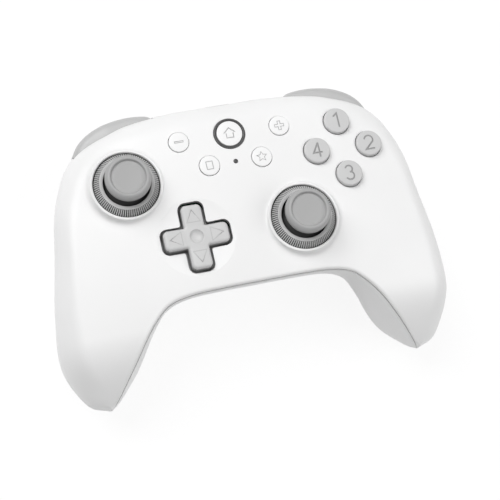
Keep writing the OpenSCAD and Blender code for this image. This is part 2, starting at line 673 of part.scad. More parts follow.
module stick_pivot() translate([0, 0, pivot_z]) difference() {
    union() {
        cube([tilt_span, 2 * pivot_y, tilt_span], center = true);
        along_y(pivot_pin_r, pin_short - cradle_y, cradle_y - pin_short);
    }
    cylinder(r = rod_r + run_gap, h = deck_z, center = true);
}
module stick_cradle() translate([0, 0, pivot_z]) difference() {
    union() {
        cube([2 * cradle_x, 2 * cradle_y, cradle_h], center = true);
        for (m = [-1, 1]) handed(m) along_x(trunnion_r, cradle_x - pin_short, housing_w / 2 - pin_flush);
    }
    cube([2 * cradle_in_x, 2 * cradle_in_y, 2 * cradle_h], center = true);
    along_y(pivot_pin_r + run_gap, -2 * cradle_y, 2 * cradle_y);
}
arch_gap = 0.2;
arch_r = housing_in - arch_gap;
arch_wall = 0.8;
arch_w = 5;
arch_slot = 3;
module stick_arch() translate([0, 0, pivot_z]) {
    difference() {
        intersection() {
            along_x(arch_r, -arch_w / 2, arch_w / 2);
            block([-arch_w, -arch_r, -trunnion_r - arch_gap], [arch_w, arch_r, arch_r]);
        }
        along_x(arch_r - arch_wall, -arch_w, arch_w);
        block([-rod_r - arch_gap, -arch_slot, 0], [rod_r + arch_gap, arch_slot, 2 * arch_r]);
    }
    along_y(trunnion_r, arch_r - arch_wall / 2, housing_w / 2 - pin_flush);
    along_y(trunnion_r, pin_flush - housing_w / 2, arch_wall / 2 - arch_r);
}
housing_top = pivot_z + 2.5;
housing_floor = board_top + 0.8;
switch_r = 1.2;
switch_h = 1.4;
pod_w = 8;
pod_t = 1.8;
pod_top = pivot_z - 1.5;
module stick_housing() difference() {
    union() {
        block([-housing_w / 2, -housing_w / 2, board_top], [housing_w / 2, housing_w / 2, housing_top]);
        block([housing_w / 2, -pod_w / 2, board_top], [housing_w / 2 + pod_t, pod_w / 2, pod_top]);
        block([-pod_w / 2, housing_w / 2, board_top], [pod_w / 2, housing_w / 2 + pod_t, pod_top]);
    }
    difference() {
        block([-housing_in, -housing_in, housing_floor], [housing_in, housing_in, deck_z]);
        translate([0, 0, board_top]) cylinder(r = switch_r, h = switch_h);
    }
    translate([0, 0, pivot_z]) {
        along_x(trunnion_r + run_gap, -housing_w / 2 - cut, housing_w / 2 + cut);
        along_y(trunnion_r + run_gap, -housing_w / 2 - cut, housing_w / 2 + cut);
    }
}
module left_stick_ring() color("darkgray") at(left_stick) stick_ring();
module right_stick_ring() color("darkgray") at(right_stick) stick_ring();
module left_stick_cap() color("darkgray") at(left_stick) stick_cap();
module right_stick_cap() color("darkgray") at(right_stick) stick_cap();
module left_stick_shaft() color("dimgray") at(left_stick) stick_shaft();
module right_stick_shaft() color("dimgray") at(right_stick) stick_shaft();
module left_stick_pivot() color("gray") at(left_stick) stick_pivot();
module right_stick_pivot() color("gray") at(right_stick) stick_pivot();
module left_stick_cradle() color("white") at(left_stick) stick_cradle();
module right_stick_cradle() color("white") at(right_stick) stick_cradle();
module left_stick_arch() color("black") at(left_stick) stick_arch();
module right_stick_arch() color("black") at(right_stick) stick_arch();
module left_stick_housing() color("silver") at(left_stick) stick_housing();
module right_stick_housing() color("silver") at(right_stick) stick_housing();

// Direction pad: key on a gimbal, gimbal on a post
dpad_flange_t = 1.4;
dpad_flange_top = dpad_pivot_z + 3;
dpad_ear_drop = 1.4;
dimple_r = 12;
dimple_depth = 0.4;
dpad_spot_r = 8.5;
plunger_r = 2;
plunger_z = dome_top + menu_room;
dpad_top = dpad_seat_z + dpad_rise;
ear_y = 3;
ear_y_out = 4.4;
ear_half = 1.6;
gimbal_half = ear_y - 0.4;
gimbal_h = 2.6;
post_foot = 1.2;
module dpad_key() color("lightgray") at(dpad_at) difference() {
    union() {
        translate([0, 0, dpad_flange_top - cut])
            linear_extrude(dpad_top - dpad_flange_top + cut) cross_2d(dpad_span, dpad_arm);
        translate([0, 0, dpad_flange_top - dpad_flange_t]) cylinder(r = dpad_flange_r, h = dpad_flange_t);
        for (q = [0:90:270]) at(dpad_spot_r * [cos(q), sin(q)], plunger_z)
            cylinder(r = plunger_r, h = dpad_flange_top - plunger_z);
        for (m = [-1, 1]) scale([1, m, 1])
            block([-ear_half, ear_y, dpad_pivot_z - dpad_ear_drop], [ear_half, ear_y_out, dpad_flange_top]);
    }
    translate([0, 0, dpad_pivot_z]) along_y(pivot_pin_r + run_gap, -ear_y_out - 1, ear_y_out + 1);
    translate([0, 0, dpad_top + dimple_r - dimple_depth]) sphere(r = dimple_r);
}
module dpad_gimbal() color("white") at(dpad_at, dpad_pivot_z) {
    cube([2 * gimbal_half, 2 * gimbal_half, gimbal_h], center = true);
    along_x(pivot_pin_r, pin_short - ear_y_out, ear_y_out - pin_short);
    along_y(pivot_pin_r, pin_short - ear_y_out, ear_y_out - pin_short);
}
module dpad_post() color("gainsboro") at(dpad_at) difference() {
    union() {
        block([-ear_y_out, -ear_half, board_top], [ear_y_out, ear_half, board_top + post_foot]);
        for (m = [-1, 1]) handed(m)
            block([ear_y, -ear_half, board_top], [ear_y_out, ear_half, dpad_pivot_z + post_foot]);
    }
    translate([0, 0, dpad_pivot_z]) along_x(pivot_pin_r + run_gap, -ear_y_out - 1, ear_y_out + 1);
}

// Buttons
flange_t = 1.1;
face_flange_w = 0.7;
face_flange_drop = 1.3;
face_stem_r = 3.4;
menu_flange_w = 0.9;
menu_flange_drop = 1.2;
menu_stem_r = 2.2;
home_stem_r = 2.6;
face_flange_top = face_z(face_spots[1][0], face_spots[1][1]) - wall - face_flange_drop;
module button(p, r, rise, flange_r, flange_top, bottom, stem_r) {
    top = face_z(p[0], p[1]) + rise;
    at(p, flange_top - flange_t) cylinder(r = r, h = top - flange_top + flange_t);
    at(p, flange_top - flange_t) cylinder(r = flange_r, h = flange_t);
    at(p, bottom) cylinder(r = stem_r, h = flange_top - bottom);
}
module face_button(k) color("lightgray")
    button(face_spots[k], face_button_r, face_button_rise, face_button_r + face_flange_w, face_flange_top,
        face_bottom, face_stem_r);
module face_button_top() face_button(0);
module face_button_right() face_button(1);
module face_button_bottom() face_button(2);
module face_button_left() face_button(3);
menu_flange_top = face_z(menu_spots[1][0], menu_spots[1][1]) - wall - menu_flange_drop;
module menu_button(k) color("white")
    button(menu_spots[k], menu_button_r, menu_button_rise, menu_button_r + menu_flange_w, menu_flange_top,
        menu_bottom, menu_stem_r);
module minus_button() menu_button(0);
module plus_button() menu_button(1);
module profile_button() menu_button(2);
module star_button() menu_button(3);
home_ring_drop = 3;
home_ring_rise = 0.3;
home_flange_gap = 0.6;
home_flange_top = face_z(0, home_at[1]) - home_ring_drop - home_flange_gap;
module home_button() color("white")
    button(home_at, home_r, menu_button_rise, home_ring_r, home_flange_top, menu_bottom, home_stem_r);
module home_ring() color("dimgray") at(home_at, face_z(0, home_at[1]) - home_ring_drop)
    tube(home_ring_r, home_r + button_gap, home_ring_drop + home_ring_rise);
light_foot = pad_top + press_room;
module status_light() color("dimgray") at(light_at, light_foot)
    cylinder(r = light_r, h = face_z(0, light_at[1]) - light_foot + seat_gap);

// Inside
board_half = 52.4;
board_front = -13.4;
tongue_half = 30.2;
board_x = board_half * scale_x;
board_low = board_front * scale_y;
tongue_x = tongue_half * scale_x;
board_gap = 1;
tongue_end = 4.6;
neck_x = 7;
module main_board() color("seagreen") difference() {
    union() {
        block([-board_x, board_low, board_z], [board_x, bulkhead_y - rib_t - board_gap, board_top]);
        block([-tongue_x, board_low, board_z], [tongue_x, home_at[1] + tongue_end, board_top]);
        block([-neck_x, 0, board_z], [neck_x, usb_back - wall - well_gap, board_top]);
    }
    at(case_spots[4]) cylinder(r = post_r + screw_gap, h = deck_z);
    for (p = board_spots) at(p) cylinder(r = board_screw_r + screw_gap, h = deck_z);
}
screw_gap = 0.3;
// Chips under the board: place, width, length and height
chips = [[-3, 17, 10, 10, 1.2], [15, 17, 6, 6, 1], [-20.5, 16.5, 7, 5, 1], [32.5, 4.5, 5, 5, 0.9]];
module board_chips() color("black") for (c = chips)
    at(c, board_z - c[4]) linear_extrude(c[4]) square([c[2], c[3]], center = true);
dome_taper = 0.8;
face_dome_r = 3.6;
menu_dome_r = 2.6;
dpad_dome_r = 2.4;
membrane_edge = 4;
dpad_membrane_in = 5.2;
module membrane(spots, r) for (p = spots) at(p, board_top)
    cylinder(r1 = r, r2 = r - dome_taper, h = pad_t + dome_h);
module face_membrane() color("slategray") {
    at(face_at, board_top) linear_extrude(pad_t) rotate(45)
        square(face_pitch * sqrt(2) + 2 * membrane_edge, center = true);
    membrane(face_spots, face_dome_r);
}
module menu_membrane() color("slategray") {
    low = [menu_spots[0][0], menu_spots[2][1]];
    high = menu_spots[1];
    block([low[0] - membrane_edge, low[1] - membrane_edge, board_top],
        [high[0] + membrane_edge, high[1] + membrane_edge, pad_top]);
    membrane(concat(menu_spots, [home_at]), menu_dome_r);
}
module dpad_membrane() color("slategray") at(dpad_at) {
    at([0, 0], board_top) tube(dpad_spot_r + dpad_dome_r + 0.5, dpad_membrane_in, pad_t);
    membrane([for (q = [0:90:270]) dpad_spot_r * [cos(q), sin(q)]], dpad_dome_r);
}
module battery() color("dimgray")
    block([-battery_w / 2, battery_y - battery_l / 2, battery_z], [battery_w / 2, battery_y + battery_l / 2,
        battery_z + battery_t]);
shaft_r = 1;
shaft_l = 8;
weight_hub = 1.2;
weight_gap = 1;
module motor() translate([motor_at[0], 0, motor_at[2]]) difference() {
    along_y(motor_r, motor_at[1], motor_at[1] + motor_l);
    along_y(shaft_r + run_gap, motor_at[1] + motor_l - shaft_l - 2, motor_at[1] + motor_l + 1);
}
module motor_weight() translate([motor_at[0], motor_at[1] + motor_l, motor_at[2]]) {
    intersection() {
        along_y(weight_r, weight_gap, weight_gap + weight_t);
        block([-weight_r, 0, -weight_r], [weight_r, weight_gap + weight_t, 0]);
    }
    along_y(shaft_r + weight_hub, weight_gap, weight_gap + weight_t);
    along_y(shaft_r, -shaft_l, weight_gap + weight_t);
}
module left_motor() color("silver") handed(-1) motor();
module right_motor() color("silver") handed(1) motor();
module left_motor_weight() color("goldenrod") handed(-1) motor_weight();
module right_motor_weight() color("goldenrod") handed(1) motor_weight();
usb_wall = 0.4;
usb_inset = 0.3;
usb_tongue_t = 0.7;
usb_tongue_gap = 1.2;
module usb_socket() color("silver") translate([0, usb_back - usb_l - usb_inset, board_top]) {
    difference() {
        block([-usb_w / 2, 0, 0], [usb_w / 2, usb_l, usb_h]);
        block([-usb_w / 2 + usb_wall, 1, usb_wall], [usb_w / 2 - usb_wall, usb_l + 1, usb_h - usb_wall]);
    }
    block([usb_tongue_gap - usb_w / 2, 0, (usb_h - usb_tongue_t) / 2],
        [usb_w / 2 - usb_tongue_gap, usb_l - 1, (usb_h + usb_tongue_t) / 2]);
}

front_shell();
rear_shell();
left_bumper();
right_bumper();
left_trigger();
right_trigger();
left_trigger_pin();
right_trigger_pin();
left_trigger_spring();
right_trigger_spring();
left_stick_ring();
right_stick_ring();
left_stick_cap();
right_stick_cap();
left_stick_shaft();
right_stick_shaft();
left_stick_pivot();
right_stick_pivot();
left_stick_cradle();
right_stick_cradle();
left_stick_arch();
right_stick_arch();
left_stick_housing();
right_stick_housing();
dpad_key();
dpad_gimbal();
dpad_post();
face_button_top();
face_button_right();
face_button_bottom();
face_button_left();
minus_button();
plus_button();
profile_button();
star_button();
home_button();
home_ring();
status_light();
main_board();
board_chips();
face_membrane();
menu_membrane();
dpad_membrane();
battery();
left_motor();
right_motor();
left_motor_weight();
right_motor_weight();
usb_socket();
case_screws();
board_screws();
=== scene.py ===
# Game controller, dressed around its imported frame. Shapes are written in millimetres.
import math
from contextlib import contextmanager

import bmesh
import bpy
import numpy as np
from mathutils import Matrix, Vector
from mathutils.bvhtree import BVHTree


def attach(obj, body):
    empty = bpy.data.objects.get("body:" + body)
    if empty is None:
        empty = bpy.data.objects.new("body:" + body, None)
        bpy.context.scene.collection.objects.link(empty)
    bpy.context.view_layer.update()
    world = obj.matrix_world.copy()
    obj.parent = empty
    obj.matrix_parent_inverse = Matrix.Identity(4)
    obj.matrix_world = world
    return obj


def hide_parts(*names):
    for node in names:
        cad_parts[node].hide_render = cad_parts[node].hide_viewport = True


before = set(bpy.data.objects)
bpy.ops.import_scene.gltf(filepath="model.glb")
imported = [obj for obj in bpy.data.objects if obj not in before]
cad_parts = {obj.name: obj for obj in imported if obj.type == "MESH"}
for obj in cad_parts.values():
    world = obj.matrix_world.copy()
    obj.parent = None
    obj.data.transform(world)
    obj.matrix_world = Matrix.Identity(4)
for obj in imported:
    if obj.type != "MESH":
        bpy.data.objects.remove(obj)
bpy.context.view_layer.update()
mm = 0.001
white = (1, 1, 1, 1)
scene = bpy.context.scene
scene.view_settings.view_transform = "Standard"
print("stage: frame loaded,", len(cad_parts), "nodes")

# Node trees


def addNode(tree, kind, inputs=None, **settings):
    node = tree.nodes.new(kind)
    for key, value in settings.items():
        setattr(node, key, value)
    for key, value in (inputs or {}).items():
        node.inputs[key].default_value = value
    return node


def addSocket(tree, label, kind, way="INPUT"):
    return tree.interface.new_socket(label, in_out=way, socket_type="NodeSocket" + kind)


def wire(tree, *links):
    # Each link is a node, its output, the next node and its input
    for source, output, target, entry in links:
        tree.links.new(source.outputs[output], target.inputs[entry])


# Camera and light

shot = {
    "azimuth": -42.95,
    "elevation": 72.64,
    "roll": 31.12,
    "slideRight": -2.566,
    "slideUp": 21.122,
    "distance": 481.76,
    "aimedAt": (0.0, 12.2, 51.0),
    "lens": 97.3,
    "sensor": 36.0,
    "clipNear": 10.0,
}


def cameraAxes():
    az, el, roll = (math.radians(shot[key]) for key in ("azimuth", "elevation", "roll"))
    back = Vector((math.sin(az) * math.cos(el), -math.cos(az) * math.cos(el), math.sin(el)))
    level = Vector((0, 0, 1)).cross(back).normalized()
    upright = back.cross(level)
    right = level * math.cos(roll) + upright * math.sin(roll)
    up = upright * math.cos(roll) - level * math.sin(roll)
    return right, up, back


def placeCamera():
    right, up, back = cameraAxes()
    spot = Vector(shot["aimedAt"]) - right * shot["slideRight"] - up * shot["slideUp"]
    spot += back * shot["distance"]
    data = bpy.data.cameras.new("photoCamera")
    data.lens = shot["lens"]
    data.sensor_width = shot["sensor"]
    data.clip_start = shot["clipNear"] * mm
    camera = bpy.data.objects.new("photoCamera", data)
    turn = Matrix((right, up, back)).transposed().to_4x4()
    camera.matrix_world = Matrix.Translation(spot * mm) @ turn
    scene.collection.objects.link(camera)
    scene.camera = camera


lighting = {
    "worldStrength": 0.26,
    "backdrop": 1.03,
    "middle": (0.0, 0.0, 30.0),
    # Watts, metres, and the way to the lamp along the camera's right, up and back
    "keyLamp": {"power": 20.0, "size": 1.1, "far": 1.6, "way": (-0.33, 0.54, 0.77)},
    "fillLamp": {"power": 7.7, "size": 1.0, "far": 1.4, "way": (0.75, 0.05, 0.66)},
}


def softLamp(name):
    lamp = lighting[name]
    right, up, back = cameraAxes()
    way = lamp["way"]
    aim = (right * way[0] + up * way[1] + back * way[2]).normalized()
    data = bpy.data.lights.new(name, "AREA")
    data.energy = lamp["power"]
    data.size = lamp["size"]
    holder = bpy.data.objects.new(name, data)
    holder.location = Vector(lighting["middle"]) * mm + aim * lamp["far"]
    holder.rotation_euler = aim.to_track_quat("Z", "Y").to_euler()
    scene.collection.objects.link(holder)


def lightRoom():
    world = bpy.data.worlds.new("paleRoom")
    world.use_nodes = True
    tree = world.node_tree
    shade = tree.nodes["Background"]
    shade.inputs["Color"].default_value = white
    # The backdrop is white to the camera and gives little light
    path = addNode(tree, "ShaderNodeLightPath")
    levels = {"To Min": lighting["worldStrength"], "To Max": lighting["backdrop"]}
    level = addNode(tree, "ShaderNodeMapRange", levels)
    wire(tree, (path, "Is Camera Ray", level, "Value"), (level, "Result", shade, "Strength"))
    scene.world = world
    softLamp("keyLamp")
    softLamp("fillLamp")


ground = {"half": 3.0, "grey": 0.9, "glowShare": 0.86}  # half its width in metres


def layFloor():
    half = ground["half"]
    data = bpy.data.meshes.new("floor")
    corners = [(-half, -half, 0), (half, -half, 0), (half, half, 0), (-half, half, 0)]
    data.from_pydata(corners, [], [(0, 1, 2, 3)])
    floor = bpy.data.objects.new("floor", data)
    scene.collection.objects.link(floor)
    paint = bpy.data.materials.new("paleFloor")
    paint.use_nodes = True
    tree = paint.node_tree
    tree.nodes.clear()
    out = addNode(tree, "ShaderNodeOutputMaterial")
    mix = addNode(tree, "ShaderNodeMixShader")
    path = addNode(tree, "ShaderNodeLightPath")
    seen = addNode(tree, "ShaderNodeMath", operation="MAXIMUM")
    share = addNode(tree, "ShaderNodeMath", {1: ground["glowShare"]}, operation="MULTIPLY")
    matt = addNode(tree, "ShaderNodeBsdfDiffuse", {"Color": (*[ground["grey"]] * 3, 1)})
    glow = addNode(tree, "ShaderNodeEmission", {"Color": white, "Strength": lighting["backdrop"]})
    wire(
        tree,
        (path, "Is Camera Ray", seen, 0),
        (path, "Is Glossy Ray", seen, 1),
        (seen, 0, share, 0),
        (share, 0, mix, 0),
        (matt, 0, mix, 1),
        (glow, 0, mix, 2),
        (mix, 0, out, "Surface"),
    )
    data.materials.append(paint)


placeCamera()
lightRoom()
layFloor()
print("stage: camera, light and floor set")

# Materials: one shared grain group, then a finish for each kind of piece

grain = {
    "scale": 2600.0,
    "detail": 3.0,
    "roughness": 0.6,
    "deep": 0.06,
    "patchScale": 28.0,
    "patchDetail": 2.0,
    "patchLow": 0.3,
    "patchHigh": 0.7,
    "glossSwing": 0.05,
    "ior": 1.48,
}


def buildGrainGroup():
    group = bpy.data.node_groups.new("mouldedGrain", "ShaderNodeTree")
    addSocket(group, "Grain Scale", "Float").default_value = grain["scale"]
    addSocket(group, "Patch Scale", "Float").default_value = grain["patchScale"]
    addSocket(group, "Height", "Float", "OUTPUT")
    addSocket(group, "Patch", "Float", "OUTPUT")
    entry = addNode(group, "NodeGroupInput")
    leave = addNode(group, "NodeGroupOutput")
    coords = addNode(group, "ShaderNodeTexCoord")
    fine = addNode(group, "ShaderNodeTexNoise", {"Detail": grain["detail"], "Roughness": grain["roughness"]})
    broad = addNode(group, "ShaderNodeTexNoise", {"Detail": grain["patchDetail"]})
    wire(
        group,
        (coords, "Object", fine, "Vector"),
        (coords, "Object", broad, "Vector"),
        (entry, "Grain Scale", fine, "Scale"),
        (entry, "Patch Scale", broad, "Scale"),
        (fine, "Fac", leave, "Height"),
        (broad, "Fac", leave, "Patch"),
    )
    return group


grainGroup = buildGrainGroup()


def plasticFinish(name, colour, rough, bumps, drift=0.03, grainScale=grain["scale"], metal=0.0, coat=0.0):
    paint = bpy.data.materials.new(name)
    paint.use_nodes = True
    tree = paint.node_tree
    base = tree.nodes["Principled BSDF"]
    for key, value in (("Metallic", metal), ("Coat Weight", coat), ("IOR", grain["ior"])):
        base.inputs[key].default_value = value
    grained = addNode(tree, "ShaderNodeGroup", {"Grain Scale": grainScale}, node_tree=grainGroup)
    patches = {"From Min": grain["patchLow"], "From Max": grain["patchHigh"]}
    tone = addNode(tree, "ShaderNodeMapRange", patches)
    dark = [c * (1.0 - drift) for c in colour]
    blend = addNode(tree, "ShaderNodeMix", {"A": (*dark, 1), "B": (*colour, 1)}, data_type="RGBA")
    swing = grain["glossSwing"]
    gloss = addNode(tree, "ShaderNodeMapRange", {"To Min": rough - swing, "To Max": rough + swing})
    bump = addNode(tree, "ShaderNodeBump", {"Strength": bumps, "Distance": grain["deep"] * mm})
    wire(
        tree,
        (grained, "Patch", tone, "Value"),
        (tone, "Result", blend, "Factor"),
        (blend, "Result", base, "Base Color"),
        (grained, "Height", gloss, "Value"),
        (gloss, "Result", base, "Roughness"),
        (grained, "Height", bump, "Height"),
        (bump, "Normal", base, "Normal"),
    )
    return paint


def paintShadeLow(paint, low, high, share):
    # Painted shade: a colour that darkens towards the foot of a piece, between two heights
    tree = paint.node_tree
    base = tree.nodes["Principled BSDF"]
    source = base.inputs["Base Color"].links[0].from_node
    coords = addNode(tree, "ShaderNodeTexCoord")
    split = addNode(tree, "ShaderNodeSeparateXYZ")
    span = {"From Min": low * mm, "From Max": high * mm, "To Min": share}
    depth = addNode(tree, "ShaderNodeMapRange", span, interpolation_type="SMOOTHSTEP")
    times = addNode(tree, "ShaderNodeVectorMath", operation="SCALE")
    wire(
        tree,
        (coords, "Object", split, 0),
        (split, "Z", depth, "Value"),
        (source, "Result", times, 0),
        (depth, "Result", times, "Scale"),
        (times, 0, base, "Base Color"),
    )


# Grey level, roughness and strength of the grain
greys = {
    "shellWhite": (0.86, 0.42, 0.10),
    # The rear shell's white and its cut copy are a little lighter than the front's: painted light that
    # offsets the shade on its walls
    "rearWhite": (0.88, 0.48, 0.14),
    "shellCut": (0.86, 0.42, 0.10),
    "rearCut": (0.88, 0.48, 0.14),
    "bumperGrey": (0.50, 0.38, 0.08),
    "capGrey": (0.39, 0.50, 0.16),
    "ringGrey": (0.56, 0.45, 0.12),
    # Painted shade in the grooves between the ring's ribs
    "groovePaintedShade": (0.02, 0.6, 0.1),
    "bootBlack": (0.055, 0.55, 0.1),
    "keyGrey": (0.59, 0.40, 0.10),
    "markGrey": (0.34, 0.5, 0.1),
    "buttonWhite": (0.88, 0.36, 0.08),
    "ledGrey": (0.075, 0.32, 0.05),
    # Painted shade for the dark line along the seam
    "seamPaintedShade": (0.55, 0.7, 0.1),
    # Painted shade on the walls of the button holes
    "gapPaintedShade": (0.07, 0.7, 0.1),
    "faintGrey": (0.50, 0.5, 0.1),
    # Painted shade on the pad's hole walls, the key's sides below its top and the flange
    "padPaintedShade": (0.40, 0.6, 0.1),
    "cellWrap": (0.05, 0.4, 0.05),
}
special = {
    "platedSteel": dict(colour=(0.62, 0.62, 0.62), rough=0.30, bumps=0.05, metal=1.0, grainScale=1800.0),
    "boardGreen": dict(colour=(0.02, 0.16, 0.07), rough=0.35, bumps=0.05, drift=0.2, coat=0.3),
    "padRubber": dict(colour=(0.22, 0.24, 0.27), rough=0.7, bumps=0.2),
    "weightBrass": dict(colour=(0.62, 0.46, 0.22), rough=0.32, bumps=0.06, metal=1.0),
}
capPaintedShade = {"low": 57.2, "high": 59.4, "share": 0.5}

finishes = {name: plasticFinish(name, (level,) * 3, *rest) for name, (level, *rest) in greys.items()}
for finishName, settings in special.items():
    finishes[finishName] = plasticFinish(finishName, **settings)
paintShadeLow(finishes["capGrey"], **capPaintedShade)  # painted shade: the stick caps' sides are darker than their tops

# A node takes the first finish that has a word of its name
nodeFinish = {
    "boardGreen": ("main_board",),
    "bootBlack": ("board_chips", "arch", "shaft"),
    "cellWrap": ("battery",),
    "ledGrey": ("home_ring", "status_light"),
    "weightBrass": ("weight",),
    "platedSteel": ("usb_socket", "screws", "motor", "housing", "pin", "spring"),
    "padRubber": ("membrane",),
    "bumperGrey": ("bumper", "trigger"),
    "capGrey": ("cap",),
    "ringGrey": ("ring",),
    "keyGrey": ("dpad_key", "face_button"),
    "shellWhite": ("front_shell",),
    "rearWhite": ("rear_shell",),
}


def finishFor(name):
    for finish, words in nodeFinish.items():
        if any(word in name for word in words):
            return finishes[finish]
    return finishes["buttonWhite"]


for nodeName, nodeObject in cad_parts.items():
    nodeObject.data.materials.clear()
    nodeObject.data.materials.append(finishFor(nodeName))
print("stage: finishes on every node")

# Mesh helpers


@contextmanager
def editing(piece):
    work = bmesh.new()
    work.from_mesh(piece.data)
    yield work
    work.to_mesh(piece.data)
    work.free()
    piece.data.update()


def newPiece(name, points, faces, paint, indices=None):
    data = bpy.data.meshes.new(name)
    data.from_pydata([tuple(c * mm for c in p) for p in points], [], faces)
    for one in paint:
        data.materials.append(finishes[one])
    if indices is not None:
        data.polygons.foreach_set("material_index", indices)
    piece = bpy.data.objects.new(name, data)
    scene.collection.objects.link(piece)
    return piece


def outward(piece, merge=0.0):
    with editing(piece) as work:
        if merge:
            bmesh.ops.remove_doubles(work, verts=work.verts, dist=merge * mm)
            bmesh.ops.delete(work, geom=[e for e in work.edges if e.is_wire], context="EDGES")
        bmesh.ops.recalc_face_normals(work, faces=work.faces)
    return piece


def smoothBy(piece, degrees=30.0):
    piece.data.polygons.foreach_set("use_smooth", [True] * len(piece.data.polygons))
    piece.data.set_sharp_from_angle(angle=math.radians(degrees))
    piece.data.update()
    return piece


def settle(piece):
    depsgraph = bpy.context.evaluated_depsgraph_get()
    result = bpy.data.meshes.new_from_object(piece.evaluated_get(depsgraph))
    piece.modifiers.clear()
    piece.data = result
    return piece


def carve(piece, tools, how="DIFFERENCE", solver="MANIFOLD"):
    for tool in tools:
        step = piece.modifiers.new("carve", "BOOLEAN")
        step.operation = how
        step.solver = solver
        step.object = tool
    settle(piece)
    for tool in tools:
        bpy.data.objects.remove(tool)
    return piece


def joinInto(piece, others):
    with editing(piece) as work:
        for other in others:
            work.from_mesh(other.data)
            bpy.data.objects.remove(other)
    return piece


def loftFaces(rows, width, ring=False, tube=True):
    # Quads between rows of points: a ring joins the last row to the first, a tube joins each row's ends
    faces = []
    for i in range(rows if ring else rows - 1):
        here = i * width
        there = (i + 1) % rows * width
        for j in range(width if tube else width - 1):
            ahead = (j + 1) % width
            faces.append((here + j, there + j, there + ahead, here + ahead))
    return faces


def loft(name, rows, paint):
    # A closed form through rows of points, with a flat face at each end
    width = len(rows[0])
    points = [p for row in rows for p in row]
    ends = [tuple(range(width))[::-1], tuple(range(len(points) - width, len(points)))]
    return outward(newPiece(name, points, ends + loftFaces(len(rows), width), paint))


poleMerge = 0.0004  # joins the points of a lathe that meet on its axis


def lathe(name, profile, centre, paint, segments=96, height=None, kinds=None, tube=False):
    # Rows of radius and height turned round an upright axis; height works out z where it isn't fixed
    points = []
    for k in range(segments):
        turn = 2 * math.pi * k / segments
        for r, *rest in profile:
            x = centre[0] + r * math.cos(turn)
            y = centre[1] + r * math.sin(turn)
            points.append((x, y, height(x, y, *rest) if height else rest[0]))
    faces = loftFaces(segments, len(profile), True, tube)
    piece = newPiece(name, points, faces, paint, kinds * segments if kinds else None)
    return outward(piece, 0.0 if tube else poleMerge)


def prism(name, outline, low, high, paint=("shellWhite",)):
    return loft(name, [[(x, y, z) for x, y in outline] for z in (low, high)], paint)


def block(name, low, high, paint=("shellWhite",), side=1):
    # Given for the right side, and mirrored where side is -1
    left, right = sorted((side * low[0], side * high[0]))
    outline = [(left, low[1]), (right, low[1]), (right, high[1]), (left, high[1])]
    return prism(name, outline, low[2], high[2], paint)


def arc(cx, cy, r, start, end, steps):
    found = []
    for k in range(steps + 1):
        turn = math.radians(start + (end - start) * k / steps)
        found.append((cx + r * math.cos(turn), cy + r * math.sin(turn)))
    return found


def circle(x, y, r, count=48):
    return [(x + r * math.cos(2 * math.pi * k / count), y + r * math.sin(2 * math.pi * k / count))
            for k in range(count)]


def shifted(outline, centre):
    return [(x + centre[0], y + centre[1]) for x, y in outline]


def unit(way):
    return way / np.linalg.norm(way)


def catmull(a, b, c, d, t):
    square = (2 * a - 5 * b + 4 * c - d) * t ** 2
    return 0.5 * (2 * b + (c - a) * t + square + (3 * b - a - 3 * c + d) * t ** 3)


def smoothCurve(points, steps):
    spots = [np.array(p, float) for p in points]
    last = len(spots) - 1
    found = []
    for k in range(last):
        near = (spots[max(k - 1, 0)], spots[k], spots[k + 1], spots[min(k + 2, last)])
        found += [catmull(*near, i / steps) for i in range(steps)]
    return found + [spots[last]]


def widened(outline, by):
    # A closed outline moved outwards, mitred at its corners
    spots = [np.array(p, float) for p in outline]
    area = sum(a[0] * b[1] - b[0] * a[1] for a, b in zip(spots, spots[1:] + spots[:1]))
    turnWay = 1.0 if area > 0 else -1.0
    found = []
    for k, spot in enumerate(spots):
        after = unit(spots[(k + 1) % len(spots)] - spot)
        lean = unit(unit(spot - spots[k - 1]) + after)
        out = np.array((lean[1], -lean[0])) * turnWay
        found.append(spot + out * by / max(lean.dot(after), 0.5))
    return found


def dress(piece, body, slot, *nodes):
    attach(piece, body)
    if nodes:
        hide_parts(*nodes)


# Casing: the two shells follow a pair of rails round the seam

casing = {
    "railOut": [(0, 49, -13), (20, 48.9, -13), (40, 46.4, -13.4), (56.5, 38.3, -14.6), (65, 23, -15.5),
                (68.8, 4, -18.6), (72.3, -15, -22.8), (73.3, -33, -29.4), (66.8, -47.3, -32.2),
                (59.4, -51.3, -32)],
    "railIn": [(0, -20.6, -4.5), (14, -20.6, -4.7), (25.5, -21, -5.4), (33.5, -22.9, -6.2),
               (39, -27.4, -7.5), (43.5, -32.9, -9.3), (47.2, -38.1, -12.4), (51, -43.1, -17.2),
               (55.6, -49, -24.7), (58.3, -51.4, -31.4)],
    "bellyDrop": [37, 37, 37.5, 39.5, 43.5, 49, 51, 47.8, 39, 33],
    "gripSwell": [-1.4, -1.4, -1.1, 0.5, 2.7, 3.7, 3.5, 2.7, 1.2, 0],
    "backShare": [1, 1, 1, 0.8, 0.4, 0.15, 0, 0, 0, 0],
    "deckZ": 51.0,
    "wall": 2.2,
    "seamGap": 0.38,
    "seamBevel": 0.22,
    "crownX": 430.0,
    "crownY": 330.0,
    "crownMid": 27.0,
    "noseY": -29.0,
    "noseK": 0.03,
    "edgeOut": 11.0,
    "edgeOutMost": 0.7,
    "edgeIn": 1.0,
    "edgeInMost": 0.6,
    "revealOut": 0.1,
    "revealIn": 0.32,
    "revealWidth": 9.0,
    "bellyPower": 2.5,
    "backPower": 4.6,
    "rowSteps": 12,
    "formSteps": 6,
    "columns": 56,
    "insideColumns": 24,
    "solidTip": 8,
    "sharpAngle": 28.0,
    "normalsAgree": 0.6,
}


